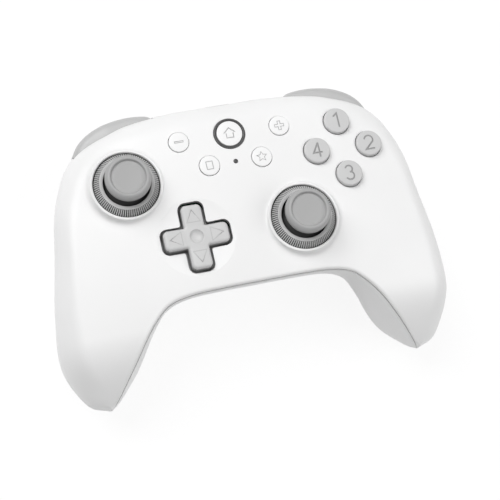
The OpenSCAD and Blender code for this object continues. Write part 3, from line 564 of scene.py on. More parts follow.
def along(values, s):
    values = [np.array(v, float) for v in values]
    last = len(values) - 1
    k = min(int(math.floor(s)), last - 1)
    if k == 0:
        before = values[1] * (np.array((-1, 1, 1)) if values[1].shape else 1)
    else:
        before = values[k - 1]
    after = 2 * values[last] - values[last - 1] if k == last - 1 else values[k + 2]
    return catmull(before, values[k], values[k + 1], after, s - k)


def railPoint(rail, u):
    p = along(casing[rail], abs(u))
    return np.array((p[0] * np.sign(u), p[1], casing["deckZ"] + p[2]))


def faceHeight(x, y):
    low = np.maximum(0, casing["noseY"] - y)
    crown = casing["deckZ"] - x * x / (2 * casing["crownX"])
    crown = crown - (y - casing["crownMid"]) ** 2 / (2 * casing["crownY"])
    return crown - casing["noseK"] * low ** 2


def frontRow(u, inset, columns):
    o = railPoint("railOut", u)
    i = railPoint("railIn", u)
    width = np.linalg.norm((i - o)[:2])
    ease = min(1.0, width / casing["revealWidth"])
    startIn = inset + casing["revealOut"] * ease
    endIn = inset + casing["revealIn"] * ease
    a = o + (i - o) * startIn / width
    b = o + (i - o) * (1 - endIn / width)
    span = width - startIn - endIn
    reachOut = min(casing["edgeOut"], casing["edgeOutMost"] * span)
    reachIn = min(casing["edgeIn"], casing["edgeInMost"] * span)
    dropOut = faceHeight(a[0], a[1]) - inset - a[2]
    dropIn = faceHeight(b[0], b[1]) - inset - b[2]
    t = 0.5 - 0.5 * np.cos(np.pi * np.arange(columns + 1) / columns)
    row = a + np.outer(t, b - a)
    d = t * span
    qOut = np.clip(1 - d / reachOut, 0, 1)
    qIn = np.clip(1 - (span - d) / reachIn, 0, 1)
    row[:, 2] = (faceHeight(row[:, 0], row[:, 1]) - inset - dropOut * (1 - np.sqrt(1 - qOut ** 2))
                 - dropIn * (1 - np.sqrt(1 - qIn ** 2)))
    return row


def rearRow(u, inset, columns):
    lower = np.array((0, 0, casing["seamGap"]))
    o = railPoint("railOut", u) - lower
    i = railPoint("railIn", u) - lower
    width = np.linalg.norm((i - o)[:2])
    share = inset / width
    a = o + (i - o) * share
    b = o + (i - o) * (1 - share)
    span = width - 2 * inset
    bellyPower = casing["bellyPower"]
    squareness = bellyPower + (casing["backPower"] - bellyPower) * along(casing["backShare"], abs(u))
    q = np.pi * np.arange(columns + 1) / columns
    power = np.where(q < np.pi / 2, 2 / squareness, 2 / bellyPower)
    swing = np.cos(q)
    t = (1 - np.abs(swing) ** power * np.sign(swing)) / 2
    deep = np.clip(np.sin(q), 0, 1) ** power
    bulge = along(casing["gripSwell"], abs(u)) * np.sin(2 * (q - np.pi / 2)) / span
    row = a + np.outer(t + np.where(q > np.pi / 2, bulge, 0), b - a)
    chord = a[2] + t * (b[2] - a[2])
    belly = casing["deckZ"] - along(casing["bellyDrop"], abs(u))
    row[:, 2] = chord + (belly + inset - chord) * deep
    return row


def bevelledRow(row, way):
    # Small bevel where the skin meets the seam, way +1 above it and -1 below it
    size = casing["seamBevel"]
    across = row[-1] - row[0]
    across[2] = 0
    across = unit(across) * size
    start = row[0] + np.array((0, 0, way * size))
    end = row[-1] + unit(row[-2] - row[-1]) * size
    return np.vstack([row[0] + across, start, row[1:-1], end, row[-1] - across])


def skinShell(name, makeRow, way, paint):
    steps = casing["rowSteps"]
    reach = (len(casing["railOut"]) - 1) * steps
    hollow = casing["solidTip"] * steps
    stations = [k / steps for k in range(-reach, reach + 1)]
    first = reach - hollow
    last = len(stations) - 1 - first
    outer = [bevelledRow(makeRow(u, 0, casing["columns"]), way) for u in stations]
    inner = [makeRow(u, casing["wall"], casing["insideColumns"]) for u in stations[first:last + 1]]
    m = len(outer[0])
    n = len(inner[0])
    base = len(outer) * m
    faces = []
    kinds = []

    def onSkin(i, j):
        return i * m + j % m

    def onInside(i, j):
        return base + (i - first) * n + j % n

    def add(kind, *corners):
        faces.append(corners)
        kinds.append(kind)

    for i in range(len(outer) - 1):
        for j in range(m - 1):
            add(0, onSkin(i, j), onSkin(i, j + 1), onSkin(i + 1, j + 1), onSkin(i + 1, j))
        if i < first - 1 or i > last:
            add(1, onSkin(i, 0), onSkin(i + 1, 0), onSkin(i + 1, -1), onSkin(i, -1))
    add(1, *[onSkin(0, j) for j in range(m)][::-1])
    add(1, *[onSkin(len(outer) - 1, j) for j in range(m)])
    for i in range(first, last):
        for j in range(n - 1):
            add(1, onInside(i, j), onInside(i + 1, j), onInside(i + 1, j + 1), onInside(i, j + 1))
        add(1, onSkin(i, 0), onSkin(i + 1, 0), onInside(i + 1, 0), onInside(i, 0))
        add(1, onInside(i, -1), onInside(i + 1, -1), onSkin(i + 1, -1), onSkin(i, -1))
    for row, beyond in ((first, first - 1), (last, last + 1)):
        add(1, *[onInside(row, j) for j in range(n)])
        add(1, onSkin(beyond, 0), onSkin(row, 0), onInside(row, 0))
        add(1, onSkin(beyond, 0), onInside(row, 0), onInside(row, -1), onSkin(beyond, -1))
        add(1, onSkin(beyond, -1), onInside(row, -1), onSkin(row, -1))
    shell = newPiece(name, np.vstack(outer + inner), faces, paint, kinds)
    with editing(shell) as work:
        flat = [f for f in work.faces if len(f.verts) != 4 or f.material_index == 1]
        bmesh.ops.triangulate(work, faces=flat)
        bmesh.ops.recalc_face_normals(work, faces=work.faces)
    return shell


def filledForm(name, makeRow, inset):
    steps = casing["formSteps"]
    hollow = casing["solidTip"] * steps
    rows = [makeRow(k / steps, inset, casing["insideColumns"]) for k in range(-hollow, hollow + 1)]
    form = loft(name, rows, ("shellWhite",))
    with editing(form) as work:
        bmesh.ops.triangulate(work, faces=work.faces)
    return form


def smoothReference(shell):
    # Keeps the uncut skin's smooth normals for the cut one
    data = shell.data
    data.polygons.foreach_set("use_smooth", [True] * len(data.polygons))
    work = bmesh.new()
    work.from_mesh(data)
    bmesh.ops.delete(work, geom=[f for f in work.faces if f.material_index == 1], context="FACES")
    bmesh.ops.triangulate(work, faces=work.faces)
    work.normal_update()
    work.verts.ensure_lookup_table()
    work.faces.ensure_lookup_table()
    normals = [v.normal.copy() for v in work.verts]
    corners = [[v.index for v in f.verts] for f in work.faces]
    spots = [v.co.copy() for v in work.verts]
    tree = BVHTree.FromBMesh(work)
    work.free()
    return tree, spots, corners, normals


def keepSmooth(shell, reference):
    tree, spots, corners, normals = reference
    smoothBy(shell, casing["sharpAngle"])
    data = shell.data
    found = [Vector(n.vector) for n in data.corner_normals]
    known = {}
    for polygon in data.polygons:
        if polygon.material_index != 0:
            continue
        for corner in polygon.loop_indices:
            v = data.loops[corner].vertex_index
            if v not in known:
                near, _, face, _ = tree.find_nearest(data.vertices[v].co)
                a, b, c = corners[face]
                shares = barycentric(near, spots[a], spots[b], spots[c])
                blended = normals[a] * shares[0] + normals[b] * shares[1] + normals[c] * shares[2]
                known[v] = blended.normalized()
            if known[v].dot(polygon.normal) > casing["normalsAgree"]:
                found[corner] = known[v]
    data.normals_split_custom_set([tuple(n) for n in found])
    data.update()


def barycentric(p, a, b, c):
    ab = b - a
    ac = c - a
    ap = p - a
    d00 = ab.dot(ab)
    d01 = ab.dot(ac)
    d11 = ac.dot(ac)
    d20 = ap.dot(ab)
    d21 = ap.dot(ac)
    whole = d00 * d11 - d01 * d01
    if abs(whole) < 1e-24:  # a sliver without area
        return 1.0, 0.0, 0.0
    v = (d11 * d20 - d01 * d21) / whole
    w = (d00 * d21 - d01 * d20) / whole
    return 1 - v - w, v, w


# Places that the shells' holes and the controls share

places = {
    "leftStick": (-40.2, 21.8),
    "rightStick": (19.7, -1.0),
    "dpad": (-19.7, -1.0),
    "faceMid": (40.4, 22.3),
    "facePitch": 10.15,
    "menu": {"minus": (-18.7, 34.1), "plus": (18.7, 34.1), "profile": (-9.7, 23.5), "star": (9.7, 23.5)},
    "home": (0.0, 34.1),
    "light": (0.0, 23.5),
}
faceWays = {"top": (0, 1), "right": (1, 0), "bottom": (0, -1), "left": (-1, 0)}
faceSpots = {}
for place, way in faceWays.items():
    faceSpots[place] = tuple(m + places["facePitch"] * w for m, w in zip(places["faceMid"], way))

# Cutters for the shells

holes = {
    "low": 39.0,
    "high": 56.0,
    "over": 60.0,
    "stick": 12.6,
    "stickLow": 36.0,
    "face": 4.95,
    "menu": 3.77,
    "home": 5.82,
    "light": 0.84,
    "lip": 0.22,
    "homeLip": 0.12,
    "lightLip": 0.08,
    "dpadSpan": 25.6,
    "dpadArm": 9.5,
    "dpadCorner": 2.7,
    "dpadInner": 0.7,
    "dpadLow": 38.0,
    "dishR": 14.0,
    "dishBall": 95.0,
    "dishSink": 0.28,
}
shellPaint = ("shellWhite", "shellCut", "gapPaintedShade", "padPaintedShade")
rearPaint = ("rearWhite", "rearCut", "gapPaintedShade")


def markTool(tool, kind=1, paint=shellPaint):
    # The cut takes the tool's material number: 1 for a pale wall, 2 and 3 for walls in painted shade
    tool.data.materials.clear()
    for one in paint:
        tool.data.materials.append(finishes[one])
    tool.data.polygons.foreach_set("material_index", [kind] * len(tool.data.polygons))
    return tool


def onFace(x, y, share, step):
    return share * faceHeight(x, y) + step


def lippedTool(spot, r, lip, segments=96):
    # Round cutter whose rim follows the crowned face with a small rounded lip
    low = holes["low"]
    high = holes["high"]
    profile = [(0.0, 0, low), (r, 0, low), (r, 1, -1.6 * lip), (r + 0.3 * lip, 1, -0.6 * lip),
               (r + lip, 1, 0.0), (r + 2.2 * lip, 1, 0.6 * lip), (r + 2.2 * lip, 0, high), (0.0, 0, high)]
    kinds = [2 if j == 1 else 1 for j in range(len(profile) - 1)]  # painted shade on the wall below the lip
    return lathe("tool", profile, spot, shellPaint, segments, onFace, kinds)


def roundedCross(span, arm, corner, inner, steps=6):
    half = span / 2
    side = arm / 2
    turns = [math.pi / 2 * k / steps for k in range(steps + 1)]
    # One arm's upper right corner, the inner corner, then the upper arm's right corner
    right = [(half - corner + corner * math.cos(a), side - corner + corner * math.sin(a)) for a in turns]
    middle = [(side + inner - inner * math.sin(a), side + inner - inner * math.cos(a)) for a in turns]
    top = [(side - corner + corner * math.cos(a), half - corner + corner * math.sin(a)) for a in turns]
    outline = []
    for k in range(4):
        c = round(math.cos(math.pi / 2 * k))
        s = round(math.sin(math.pi / 2 * k))
        for px, py in right + middle + top:
            point = (c * px - s * py, s * px + c * py)
            if not outline or math.dist(point, outline[-1]) > 1e-4:  # no point twice
                outline.append(point)
    if math.dist(outline[0], outline[-1]) < 1e-4:
        outline.pop()
    return outline


def ballTool(centre, r, segments, rings):
    profile = [(r * math.sin(math.pi * k / rings), centre[2] - r * math.cos(math.pi * k / rings))
               for k in range(rings + 1)]
    return lathe("tool", profile, centre, ("shellWhite",), segments)


def dishTool():
    # The dish round the pad is a shallow ball cut square to the sloping face
    x, y = places["dpad"]
    upward = unit(np.array((x / casing["crownX"], (y - casing["crownMid"]) / casing["crownY"], 1.0)))
    ball = holes["dishBall"]
    edge = np.array((x, y, float(faceHeight(x, y)))) - upward * holes["dishSink"]
    middle = edge + upward * math.sqrt(ball ** 2 - holes["dishR"] ** 2)
    return markTool(ballTool(middle, ball, 200, 400))


bumperShape = {
    "outer": [(24.9, 47.8), (26.9, 49.4), (33, 50.1), (39.2, 49.6), (45, 48.2), (50.2, 45.8), (53.8, 42.7),
              (56, 39.2)],
    "inner": [(24.9, 42.0), (28.6, 40.4), (33.6, 41.6), (38.6, 42.4), (43.4, 41.8), (47.6, 39.8),
              (50.6, 37.8), (53.6, 36.4)],
    "steps": 10,
    "fallFrom": 42.0,
    "fallTo": 58.0,
    "fall": 3.6,
    "fallPower": 1.3,
    "low": 33.0,
    "high": 44.0,
    "gap": 0.22,
    "pin": (29.2, 43.0),
    "turn": 3.5,
    "roomSteps": 8,
}


def bumperFall(x):
    share = (x - bumperShape["fallFrom"]) / (bumperShape["fallTo"] - bumperShape["fallFrom"])
    return bumperShape["fall"] * min(1.0, max(0.0, share)) ** bumperShape["fallPower"]


def bumperRoom(side):
    # Room for the bumper at rest, half way and pressed in
    shape = bumperShape
    gap = shape["gap"]
    px, py = shape["pin"]
    outer, inner = (smoothCurve(shape[key], shape["roomSteps"]) for key in ("outer", "inner"))
    outline = widened(outer + inner[::-1], gap)
    tools = []
    for share in (0.0, 0.5, 1.0):
        turn = math.radians(-shape["turn"] * share)
        turned = []
        for x, y in outline:
            dx = x - px
            dy = y - py
            turned.append((side * (px + dx * math.cos(turn) - dy * math.sin(turn)),
                           py + dx * math.sin(turn) + dy * math.cos(turn)))
        room = prism("tool", turned, shape["low"] - gap, shape["high"] + gap)
        # Its top falls with the bumper's, so that the shell's edge covers the space
        for v in room.data.vertices:
            if v.co.z > shape["high"] * mm:
                v.co.z -= bumperFall(abs(v.co.x) / mm) * mm
        tools.append(markTool(room))
    return tools


usb = {"width": 9.5, "low": 37.75, "high": 41.45, "front": 40.6, "back": 60.0}


def usbTool():
    half = usb["width"] / 2
    return markTool(block("tool", (-half, usb["front"], usb["low"]), (half, usb["back"], usb["high"])))


def makeFrontShell():
    shell = skinShell("frontShell", frontRow, 1, shellPaint)
    reference = smoothReference(shell)
    tools = []
    for key in ("leftStick", "rightStick"):
        well = circle(*places[key], holes["stick"], 96)
        tools.append(markTool(prism("tool", well, holes["stickLow"], holes["over"])))
    tools.append(dishTool())
    cross = roundedCross(holes["dpadSpan"], holes["dpadArm"], holes["dpadCorner"], holes["dpadInner"])
    cross = shifted(cross, places["dpad"])
    # The pad's hole walls are in painted shade
    tools.append(markTool(prism("tool", cross, holes["dpadLow"], holes["over"]), 3))
    tools += [lippedTool(spot, holes["face"], holes["lip"]) for spot in faceSpots.values()]
    tools += [lippedTool(spot, holes["menu"], holes["lip"]) for spot in places["menu"].values()]
    tools.append(lippedTool(places["home"], holes["home"], holes["homeLip"]))
    tools.append(lippedTool(places["light"], holes["light"], holes["lightLip"], 48))
    tools += bumperRoom(-1) + bumperRoom(1)
    tools.append(usbTool())
    carve(shell, tools)
    keepSmooth(shell, reference)
    return shell, reference[0]


# The pockets that hold the triggers, with ears for their pins
pocket = {
    "inX": 32.6,
    "outX": 54.0,
    "bulkhead": 33.8,
    "top": 32.5,
    "rib": 1.6,
    "ribLow": 2.0,
    "ribBack": 60.0,
    "cutLow": -5.0,
    "cutBack": 70.0,
    "earX": (36.25, 48.9),
    "earThick": 1.8,
    "earSink": 0.3,
    "earBack": 2.6,
    "earHalf": 3.0,
    "pinY": 37.4,
    "pinZ": 28.0,
}
wells = {
    "spots": [(-61, -33, 22), (61, -33, 22), (-56, 30.5, 29), (56, 30.5, 29), (0, -11, 29)],
    "r": 2.7,
    "low": -2.0,
    "postR": 3.5,
    "postRise": 3.0,
}
backPanel = {"low": (-20, 1.5, -1), "high": (20, 16.5, 14.6)}


def makeRibbing():
    # Walls round the trigger pockets and posts round the screws, cut to the inside of the shell
    inX = pocket["inX"]
    outX = pocket["outX"]
    rib = pocket["rib"]
    back = pocket["ribBack"]
    walls = ((inX - rib, outX + rib, pocket["bulkhead"]), (inX - rib, inX, back), (outX, outX + rib, back))
    solids = []
    for side in (-1, 1):
        for start, end, reach in walls:
            low = (start, pocket["bulkhead"] - rib, pocket["ribLow"])
            solids.append(block("rib", low, (end, reach, pocket["top"]), side=side))
    for x, y, z in wells["spots"]:
        solids.append(prism("rib", circle(x, y, wells["postR"]), 0, z + wells["postRise"]))
    ribbing = carve(solids[0], solids[1:], "UNION")
    return carve(ribbing, [filledForm("form", rearRow, casing["wall"] / 2)], "INTERSECT")


def makeRearShell():
    shell = skinShell("rearShell", rearRow, -1, rearPaint)
    reference = smoothReference(shell)
    carve(shell, [markTool(makeRibbing(), 1, rearPaint)], "UNION")
    tools = [prism("tool", circle(x, y, wells["r"]), wells["low"], z) for x, y, z in wells["spots"]]
    for side in (-1, 1):
        low = (pocket["inX"], pocket["bulkhead"], pocket["cutLow"])
        tools.append(block("tool", low, (pocket["outX"], pocket["cutBack"], pocket["top"]), side=side))
        tools += bumperRoom(side)
    tools.append(block("tool", backPanel["low"], backPanel["high"]))
    tools.append(usbTool())
    carve(shell, [markTool(tool, 1, rearPaint) for tool in tools])
    keepSmooth(shell, reference)
    return shell


def makeEars():
    half = pocket["earHalf"]
    ears = []
    for side in (-1, 1):
        for x in pocket["earX"]:
            low = (x, pocket["bulkhead"] - pocket["earSink"], pocket["pinZ"] - half)
            high = (x + pocket["earThick"], pocket["pinY"] + pocket["earBack"], pocket["pinZ"] + half)
            ears.append(block(f"triggerEar{len(ears) + 1}", low, high, ("rearWhite",), side))
    return ears


frontShell, frontSkin = makeFrontShell()
dress(frontShell, "casing", "shell_white", "front_shell")
rearShell = makeRearShell()
dress(rearShell, "casing", "shell_white", "rear_shell")
for ear in makeEars():
    dress(ear, "casing", "shell_white")
print("stage: shells", len(frontShell.data.polygons), len(rearShell.data.polygons))

# Seam shade strip: a grey strip just behind the open line between the shells, painted shade for the seam's
# dark line

seamShade = {
    "insetOut": 0.3,
    "insetIn": 0.1,
    "thick": 1.3,
    "low": -1.0,
    "high": -0.1,
    "nearMost": 0.3,
    "farMost": 0.45,
    "steps": 12,
}


def makeSeamShadeStrip():
    steps = seamShade["steps"]
    low = seamShade["low"]
    high = seamShade["high"]
    reach = (len(casing["railOut"]) - 1) * steps
    stations = [k / steps for k in range(-reach, reach + 1)]
    spine = [("railOut", "railIn", u, seamShade["insetOut"]) for u in stations]
    spine += [("railIn", "railOut", u, seamShade["insetIn"]) for u in stations[::-1]]
    points = []
    for rail, across, u, inset in spine:
        spot = railPoint(rail, u)
        inwards = railPoint(across, u) - spot
        width = np.linalg.norm(inwards[:2])
        near = min(inset, width * seamShade["nearMost"])
        far = min(inset + seamShade["thick"], width * seamShade["farMost"])
        for depth, lift in ((near, low), (near, high), (far, high), (far, low)):
            points.append(spot + inwards * depth / width + np.array((0, 0, lift)))
    faces = loftFaces(len(spine), 4, True)
    piece = outward(newPiece("seamShadeStrip", points, faces, ("seamPaintedShade",)))
    # The strip stops where the bumpers turn
    carve(piece, [markTool(tool, 0, ("seamPaintedShade",)) for tool in bumperRoom(-1) + bumperRoom(1)])
    return smoothBy(piece, 40)


dress(makeSeamShadeStrip(), "casing", "dark_plastic")
print("stage: seam gasket")

# Thumbsticks: collar, knurled ring, boot and cap

stick = {
    "collarR": 13.1,
    "collarTop": 51.0,
    "collarSegments": 144,
    "skirt": 4.4,
    "skirtSteps": 18,
    "ringR": 11.9,
    "ringIn": 8.5,
    "ringRise": 1.7,
    "ringSink": 1.4,
    "ringEdge": 0.2,
    "grooveFrom": 9.83,
    "grooveLow": 1.1,
    "ribs": 90,
    "ribWidth": 0.40,
    "ribDeep": 0.9,
    "ribEdge": 0.14,
    "ribIn": 9.78,
    "ribOut": 11.62,
    "pivotZ": 43.5,
    "domeR": 10.0,
    "domeWall": 0.8,
    "domeSink": 3.3,
    "neckR": 2.9,
    "neckTop": 56.2,
}


def skinHeight(x, y):
    spot, _, _, _ = frontSkin.ray_cast(Vector((x * mm, y * mm, 0.1)), Vector((0, 0, -1)))
    return spot.z / mm


def collarHeight(x, y, share, step):
    low = skinHeight(x, y)
    return low + share * (stick["collarTop"] - low) + step


def makeCollar(name, centre):
    r = stick["collarR"]
    # Radius, share of the rise from the face to the collar's top, and a fixed step in height
    profile = []
    for k in range(stick["skirtSteps"] + 1):
        near = k / stick["skirtSteps"]
        radius = r - 0.1 + stick["skirt"] * (1 - near) ** 1.6
        profile.append((radius, 0.9 * near ** 4, -0.03 * (1 - near) ** 8))
    profile += [(r - 0.24, 0.97, 0), (r - 0.42, 1.0, 0), (r - 0.8, 1.0, 0), (r - 1.0, 1.0, -0.06),
                (r - 1.1, 1.0, -0.2), (r - 1.1, 0.0, -1.0), (r + stick["skirt"] - 0.3, 0.0, -0.4)]
    segments = stick["collarSegments"]
    return smoothBy(lathe(name, profile, centre, ("shellWhite",), segments, collarHeight, tube=True), 60)


def makeRing(name, centre):
    z = stick["collarTop"]
    top = z + stick["ringRise"]
    foot = z - stick["ringSink"]
    edge = stick["ringEdge"]
    profile = [(stick["ringIn"], foot), (stick["ringIn"], top - edge)]
    profile += arc(stick["ringIn"] + edge, top - edge, edge, 180, 90, 4)[1:]
    profile += [(9.55, top), (9.72, top - 0.04), (9.82, top - 0.14), (9.86, top - 0.7), (11.2, z - 0.75),
                (11.3, z - 1.0), (stick["ringR"], z - 1.02), (stick["ringR"], foot), (stick["ringIn"], foot)]
    piece = lathe(name, profile, centre, ("ringGrey", "groovePaintedShade"), 160)
    # The slope behind the ribs is painted dark: painted shade in the grooves
    for face in piece.data.polygons:
        out = math.dist((face.center.x / mm, face.center.y / mm), centre)
        inShadedGroove = out > stick["grooveFrom"] and face.center.z > (z - stick["grooveLow"]) * mm
        face.material_index = 1 if inShadedGroove else 0
    return smoothBy(piece, 32)


def knurlTree():
    tree = bpy.data.node_groups.new("knurledRing", "GeometryNodeTree")
    for label, kind in (("Rib", "Geometry"), ("Count", "Int"), ("Centre", "Vector"), ("Finish", "Material")):
        addSocket(tree, label, kind)
    addSocket(tree, "Ribs", "Geometry", "OUTPUT")
    entry = addNode(tree, "NodeGroupInput")
    leave = addNode(tree, "NodeGroupOutput")
    spots = addNode(tree, "GeometryNodePoints")
    number = addNode(tree, "GeometryNodeInputIndex")
    share = addNode(tree, "ShaderNodeMath", operation="DIVIDE")
    turn = addNode(tree, "ShaderNodeMath", {1: 2 * math.pi}, operation="MULTIPLY")
    angles = addNode(tree, "ShaderNodeCombineXYZ")
    facing = addNode(tree, "FunctionNodeEulerToRotation")
    copies = addNode(tree, "GeometryNodeInstanceOnPoints")
    moved = addNode(tree, "GeometryNodeTransform")
    real = addNode(tree, "GeometryNodeRealizeInstances")
    painted = addNode(tree, "GeometryNodeSetMaterial")
    wire(
        tree,
        (entry, "Count", spots, "Count"),
        (number, "Index", share, 0),
        (entry, "Count", share, 1),
        (share, 0, turn, 0),
        (turn, 0, angles, "Z"),
        (angles, 0, facing, 0),
        (spots, 0, copies, "Points"),
        (entry, "Rib", copies, "Instance"),
        (facing, 0, copies, "Rotation"),
        (copies, 0, moved, "Geometry"),
        (entry, "Centre", moved, "Translation"),
        (moved, 0, real, "Geometry"),
        (real, 0, painted, "Geometry"),
        (entry, "Finish", painted, "Material"),
        (painted, 0, leave, "Ribs"),
    )
    return tree


knurl = knurlTree()


def setInput(step, label, value):
    for item in step.node_group.interface.items_tree:
        if item.item_type == "SOCKET" and item.in_out == "INPUT" and item.name == label:
            step[item.identifier] = value


def makeKnurl(name, centre):
    top = stick["collarTop"] + stick["ringRise"]
    half = stick["ribWidth"] / 2
    deep = -stick["ribDeep"]
    edge = -stick["ribEdge"]
    crest = half * 0.5
    section = [(-half, deep), (-half, edge), (-crest, 0.0), (crest, 0.0), (half, edge), (half, deep)]
    # Radius of each section of a rib, and how far its crest lies below the ring's top
    stations = [(stick["ribIn"], 0.2), (10.0, 0.3), (11.3, 1.95), (11.52, 2.3), (stick["ribOut"], 2.7)]
    rows = [[(r, across, top - drop + below) for across, below in section] for r, drop in stations]
    piece = loft(name, rows, ("ringGrey",))
    step = piece.modifiers.new("knurl", "NODES")
    step.node_group = knurl
    setInput(step, "Count", stick["ribs"])
    setInput(step, "Centre", [centre[0] * mm, centre[1] * mm, 0.0])
    setInput(step, "Finish", finishes["ringGrey"])
    return smoothBy(settle(piece), 50)


def makeBoot(name, centre):
    z = stick["pivotZ"]
    r = stick["domeR"]
    neck = stick["neckR"]
    top = stick["neckTop"]
    foot = z - stick["domeSink"]
    profile = arc(0, z, r, 20, 70, 24)
    profile += [(neck + 0.45, z + 9.62), (neck + 0.12, z + 9.85), (neck, z + 10.3), (neck, top), (0, top)]
    # The dome is a thin shell, which leaves room for the housing when the stick leans
    profile += [(0, foot), (1.5, foot)] + arc(0, z, r - stick["domeWall"], 80, 20, 16)
    profile.append(profile[0])
    return smoothBy(lathe(name, profile, centre, ("bootBlack",)), 35)


def makeCap(name, centre):
    z = stick["collarTop"]
    # Underside, rounded side, raised rim and hollow top
    profile = [(0, 5.05), (6.7, 5.05), (7.3, 5.14), (7.74, 5.4), (8.02, 5.8), (8.16, 6.3), (8.2, 6.85),
               (8.17, 7.4), (8.08, 7.9), (7.94, 8.35), (7.75, 8.74), (7.5, 9.06), (7.24, 9.29), (6.98, 9.43),
               (6.72, 9.48), (6.5, 9.45), (6.33, 9.34), (6.22, 9.17), (6.14, 8.95), (6.07, 8.7), (5.97, 8.5),
               (5.82, 8.42), (5.62, 8.46), (5.3, 8.5), (4.4, 8.45), (3.2, 8.38), (1.8, 8.32), (0, 8.3)]
    return smoothBy(lathe(name, [(r, z + h) for r, h in profile], centre, ("capGrey",), 128), 50)


for side in ("left", "right"):
    middle = places[side + "Stick"]
    dress(makeCollar(side + "Collar", middle), "casing", "shell_white")
    dress(makeRing(side + "Ring", middle), "casing", "stick_grey", side + "_stick_ring")
    dress(makeKnurl(side + "Knurl", middle), "casing", "stick_grey")
    dress(makeBoot(side + "Boot", middle), side + "_stick", "dark_plastic", side + "_stick_shaft")
    dress(makeCap(side + "Cap", middle), side + "_stick", "stick_grey", side + "_stick_cap")
print("stage: thumbsticks")

# Direction pad

pad = {
    "span": 23.4,
    "arm": 7.4,
    "corner": 1.8,
    "inner": 0.5,
    "top": 50.7,
    "low": 43.6,
    "bevel": 1.15,
    "bevelSteps": 5,
    "slope": 0.06,
    "slopeFrom": 4.1,
    "slopeLevel": 8.0,
    "slopeDeep": 1.5,
    "dimpleR": 2.6,
    "dimpleDeep": 1.3,
    "dimpleSink": 0.4,
    "arrowAt": 7.5,
    "arrowSide": 5.5,
    "arrowLine": 0.28,
    "arrowDrop": 0.07,
    "arrowSink": 0.42,
    "over": 55.0,
    "skirt": 1.9,
    "flangeOut": 1.5,
    "flangeTop": 44.5,
}


def triangleOutline(side, at, turn):
    high = side * math.sqrt(3) / 2
    found = []
    for px, py in ((-side / 2, -high / 2), (side / 2, -high / 2), (0, high / 2)):
        py += at
        found.append((px * math.cos(turn) - py * math.sin(turn), px * math.sin(turn) + py * math.cos(turn)))
    return found


def hollowTool(outer, inner, spot, low, high, paint):
    tool = prism("tool", shifted(outer, spot), low, high, paint)
    hole = prism("hole", shifted(inner, spot), low - 1, high + 1, paint)
    return markTool(carve(tool, [hole], solver="EXACT"), 1, paint)


def padBody(paint):
    # A cross with a rounded rim, whose arms rise outwards
    x, y = places["dpad"]
    top = pad["top"]
    outline = shifted(roundedCross(pad["span"], pad["arm"], pad["corner"], pad["inner"]), (x, y))
    piece = prism("dpadKey", outline, pad["low"], top, paint)
    with editing(piece) as work:
        rim = [e for e in work.edges if all(v.co.z > (top - 0.01) * mm for v in e.verts)]
        bmesh.ops.bevel(work, geom=rim, offset=pad["bevel"] * mm, segments=pad["bevelSteps"], profile=0.5,
                        affect="EDGES")
        for axis in (0, 1):
            for way in (-1, 1):
                spot = [x * mm, y * mm, 0.0]
                spot[axis] += way * pad["slopeFrom"] * mm
                normal = [0.0, 0.0, 0.0]
                normal[axis] = 1.0
                geom = work.verts[:] + work.edges[:] + work.faces[:]
                bmesh.ops.bisect_plane(work, geom=geom, plane_co=spot, plane_no=normal)
        for v in work.verts:
            if v.co.z > (top - pad["slopeDeep"]) * mm:
                out = max(abs(v.co.x / mm - x), abs(v.co.y / mm - y)) - pad["slopeFrom"]
                v.co.z += pad["slope"] * (max(0.0, out) - pad["slopeLevel"]) * mm
        bmesh.ops.triangulate(work, faces=work.faces)
        bmesh.ops.recalc_face_normals(work, faces=work.faces)
    return piece


def makePad():
    spot = places["dpad"]
    top = pad["top"]
    paint = ("keyGrey", "faintGrey", "padPaintedShade")
    piece = padBody(paint)
    deep = pad["dimpleDeep"]
    ball = (pad["dimpleR"] ** 2 + deep ** 2) / (2 * deep)
    dimple = ballTool((*spot, top - pad["dimpleSink"] - deep + ball), ball, 64, 64)
    tools = [markTool(dimple, 0, paint)]
    innerSide = pad["arrowSide"] - 2 * math.sqrt(3) * pad["arrowLine"]
    for k in range(4):
        turn = math.pi / 2 * k
        outer = triangleOutline(pad["arrowSide"], pad["arrowAt"], turn)
        inner = triangleOutline(innerSide, pad["arrowAt"] - pad["arrowDrop"], turn)
        tools.append(hollowTool(outer, inner, spot, top - pad["arrowSink"], pad["over"], paint))
    carve(piece, tools, solver="EXACT")
    # The sides inside the hole are painted dark: painted shade
    for face in piece.data.polygons:
        if face.center.z < (top - pad["skirt"]) * mm:
            face.material_index = 2
    smoothBy(piece, 24)
    # A flange under the shell holds the key in and closes the gap, in the same painted shade grey as the
    # hole walls
    out = pad["flangeOut"]
    outline = roundedCross(pad["span"] + 2 * out, pad["arm"] + 2 * out, pad["corner"] + out, pad["inner"])
    flange = prism("dpadFlange", shifted(outline, spot), pad["low"], pad["flangeTop"], ("padPaintedShade",))
    return joinInto(piece, [flange])


dress(makePad(), "dpad", "key_grey", "dpad_key")
print("stage: direction pad")

# Buttons

button = {
    "face": {"r": 4.8, "rise": 1.9, "edge": 0.55, "crown": 0.22},
    "menu": {"r": 3.65, "rise": 0.5, "edge": 0.3, "crown": 0.14},
    "home": {"r": 4.7, "rise": 0.5, "edge": 0.3, "crown": 0.14},
    "low": 43.3,
    "flange": 0.9,
    "flangeHigh": 1.0,
    "crownSteps": 8,
    "digitLine": 0.58,
    "digitDeep": 0.28,
    "markDeep": 0.2,
}


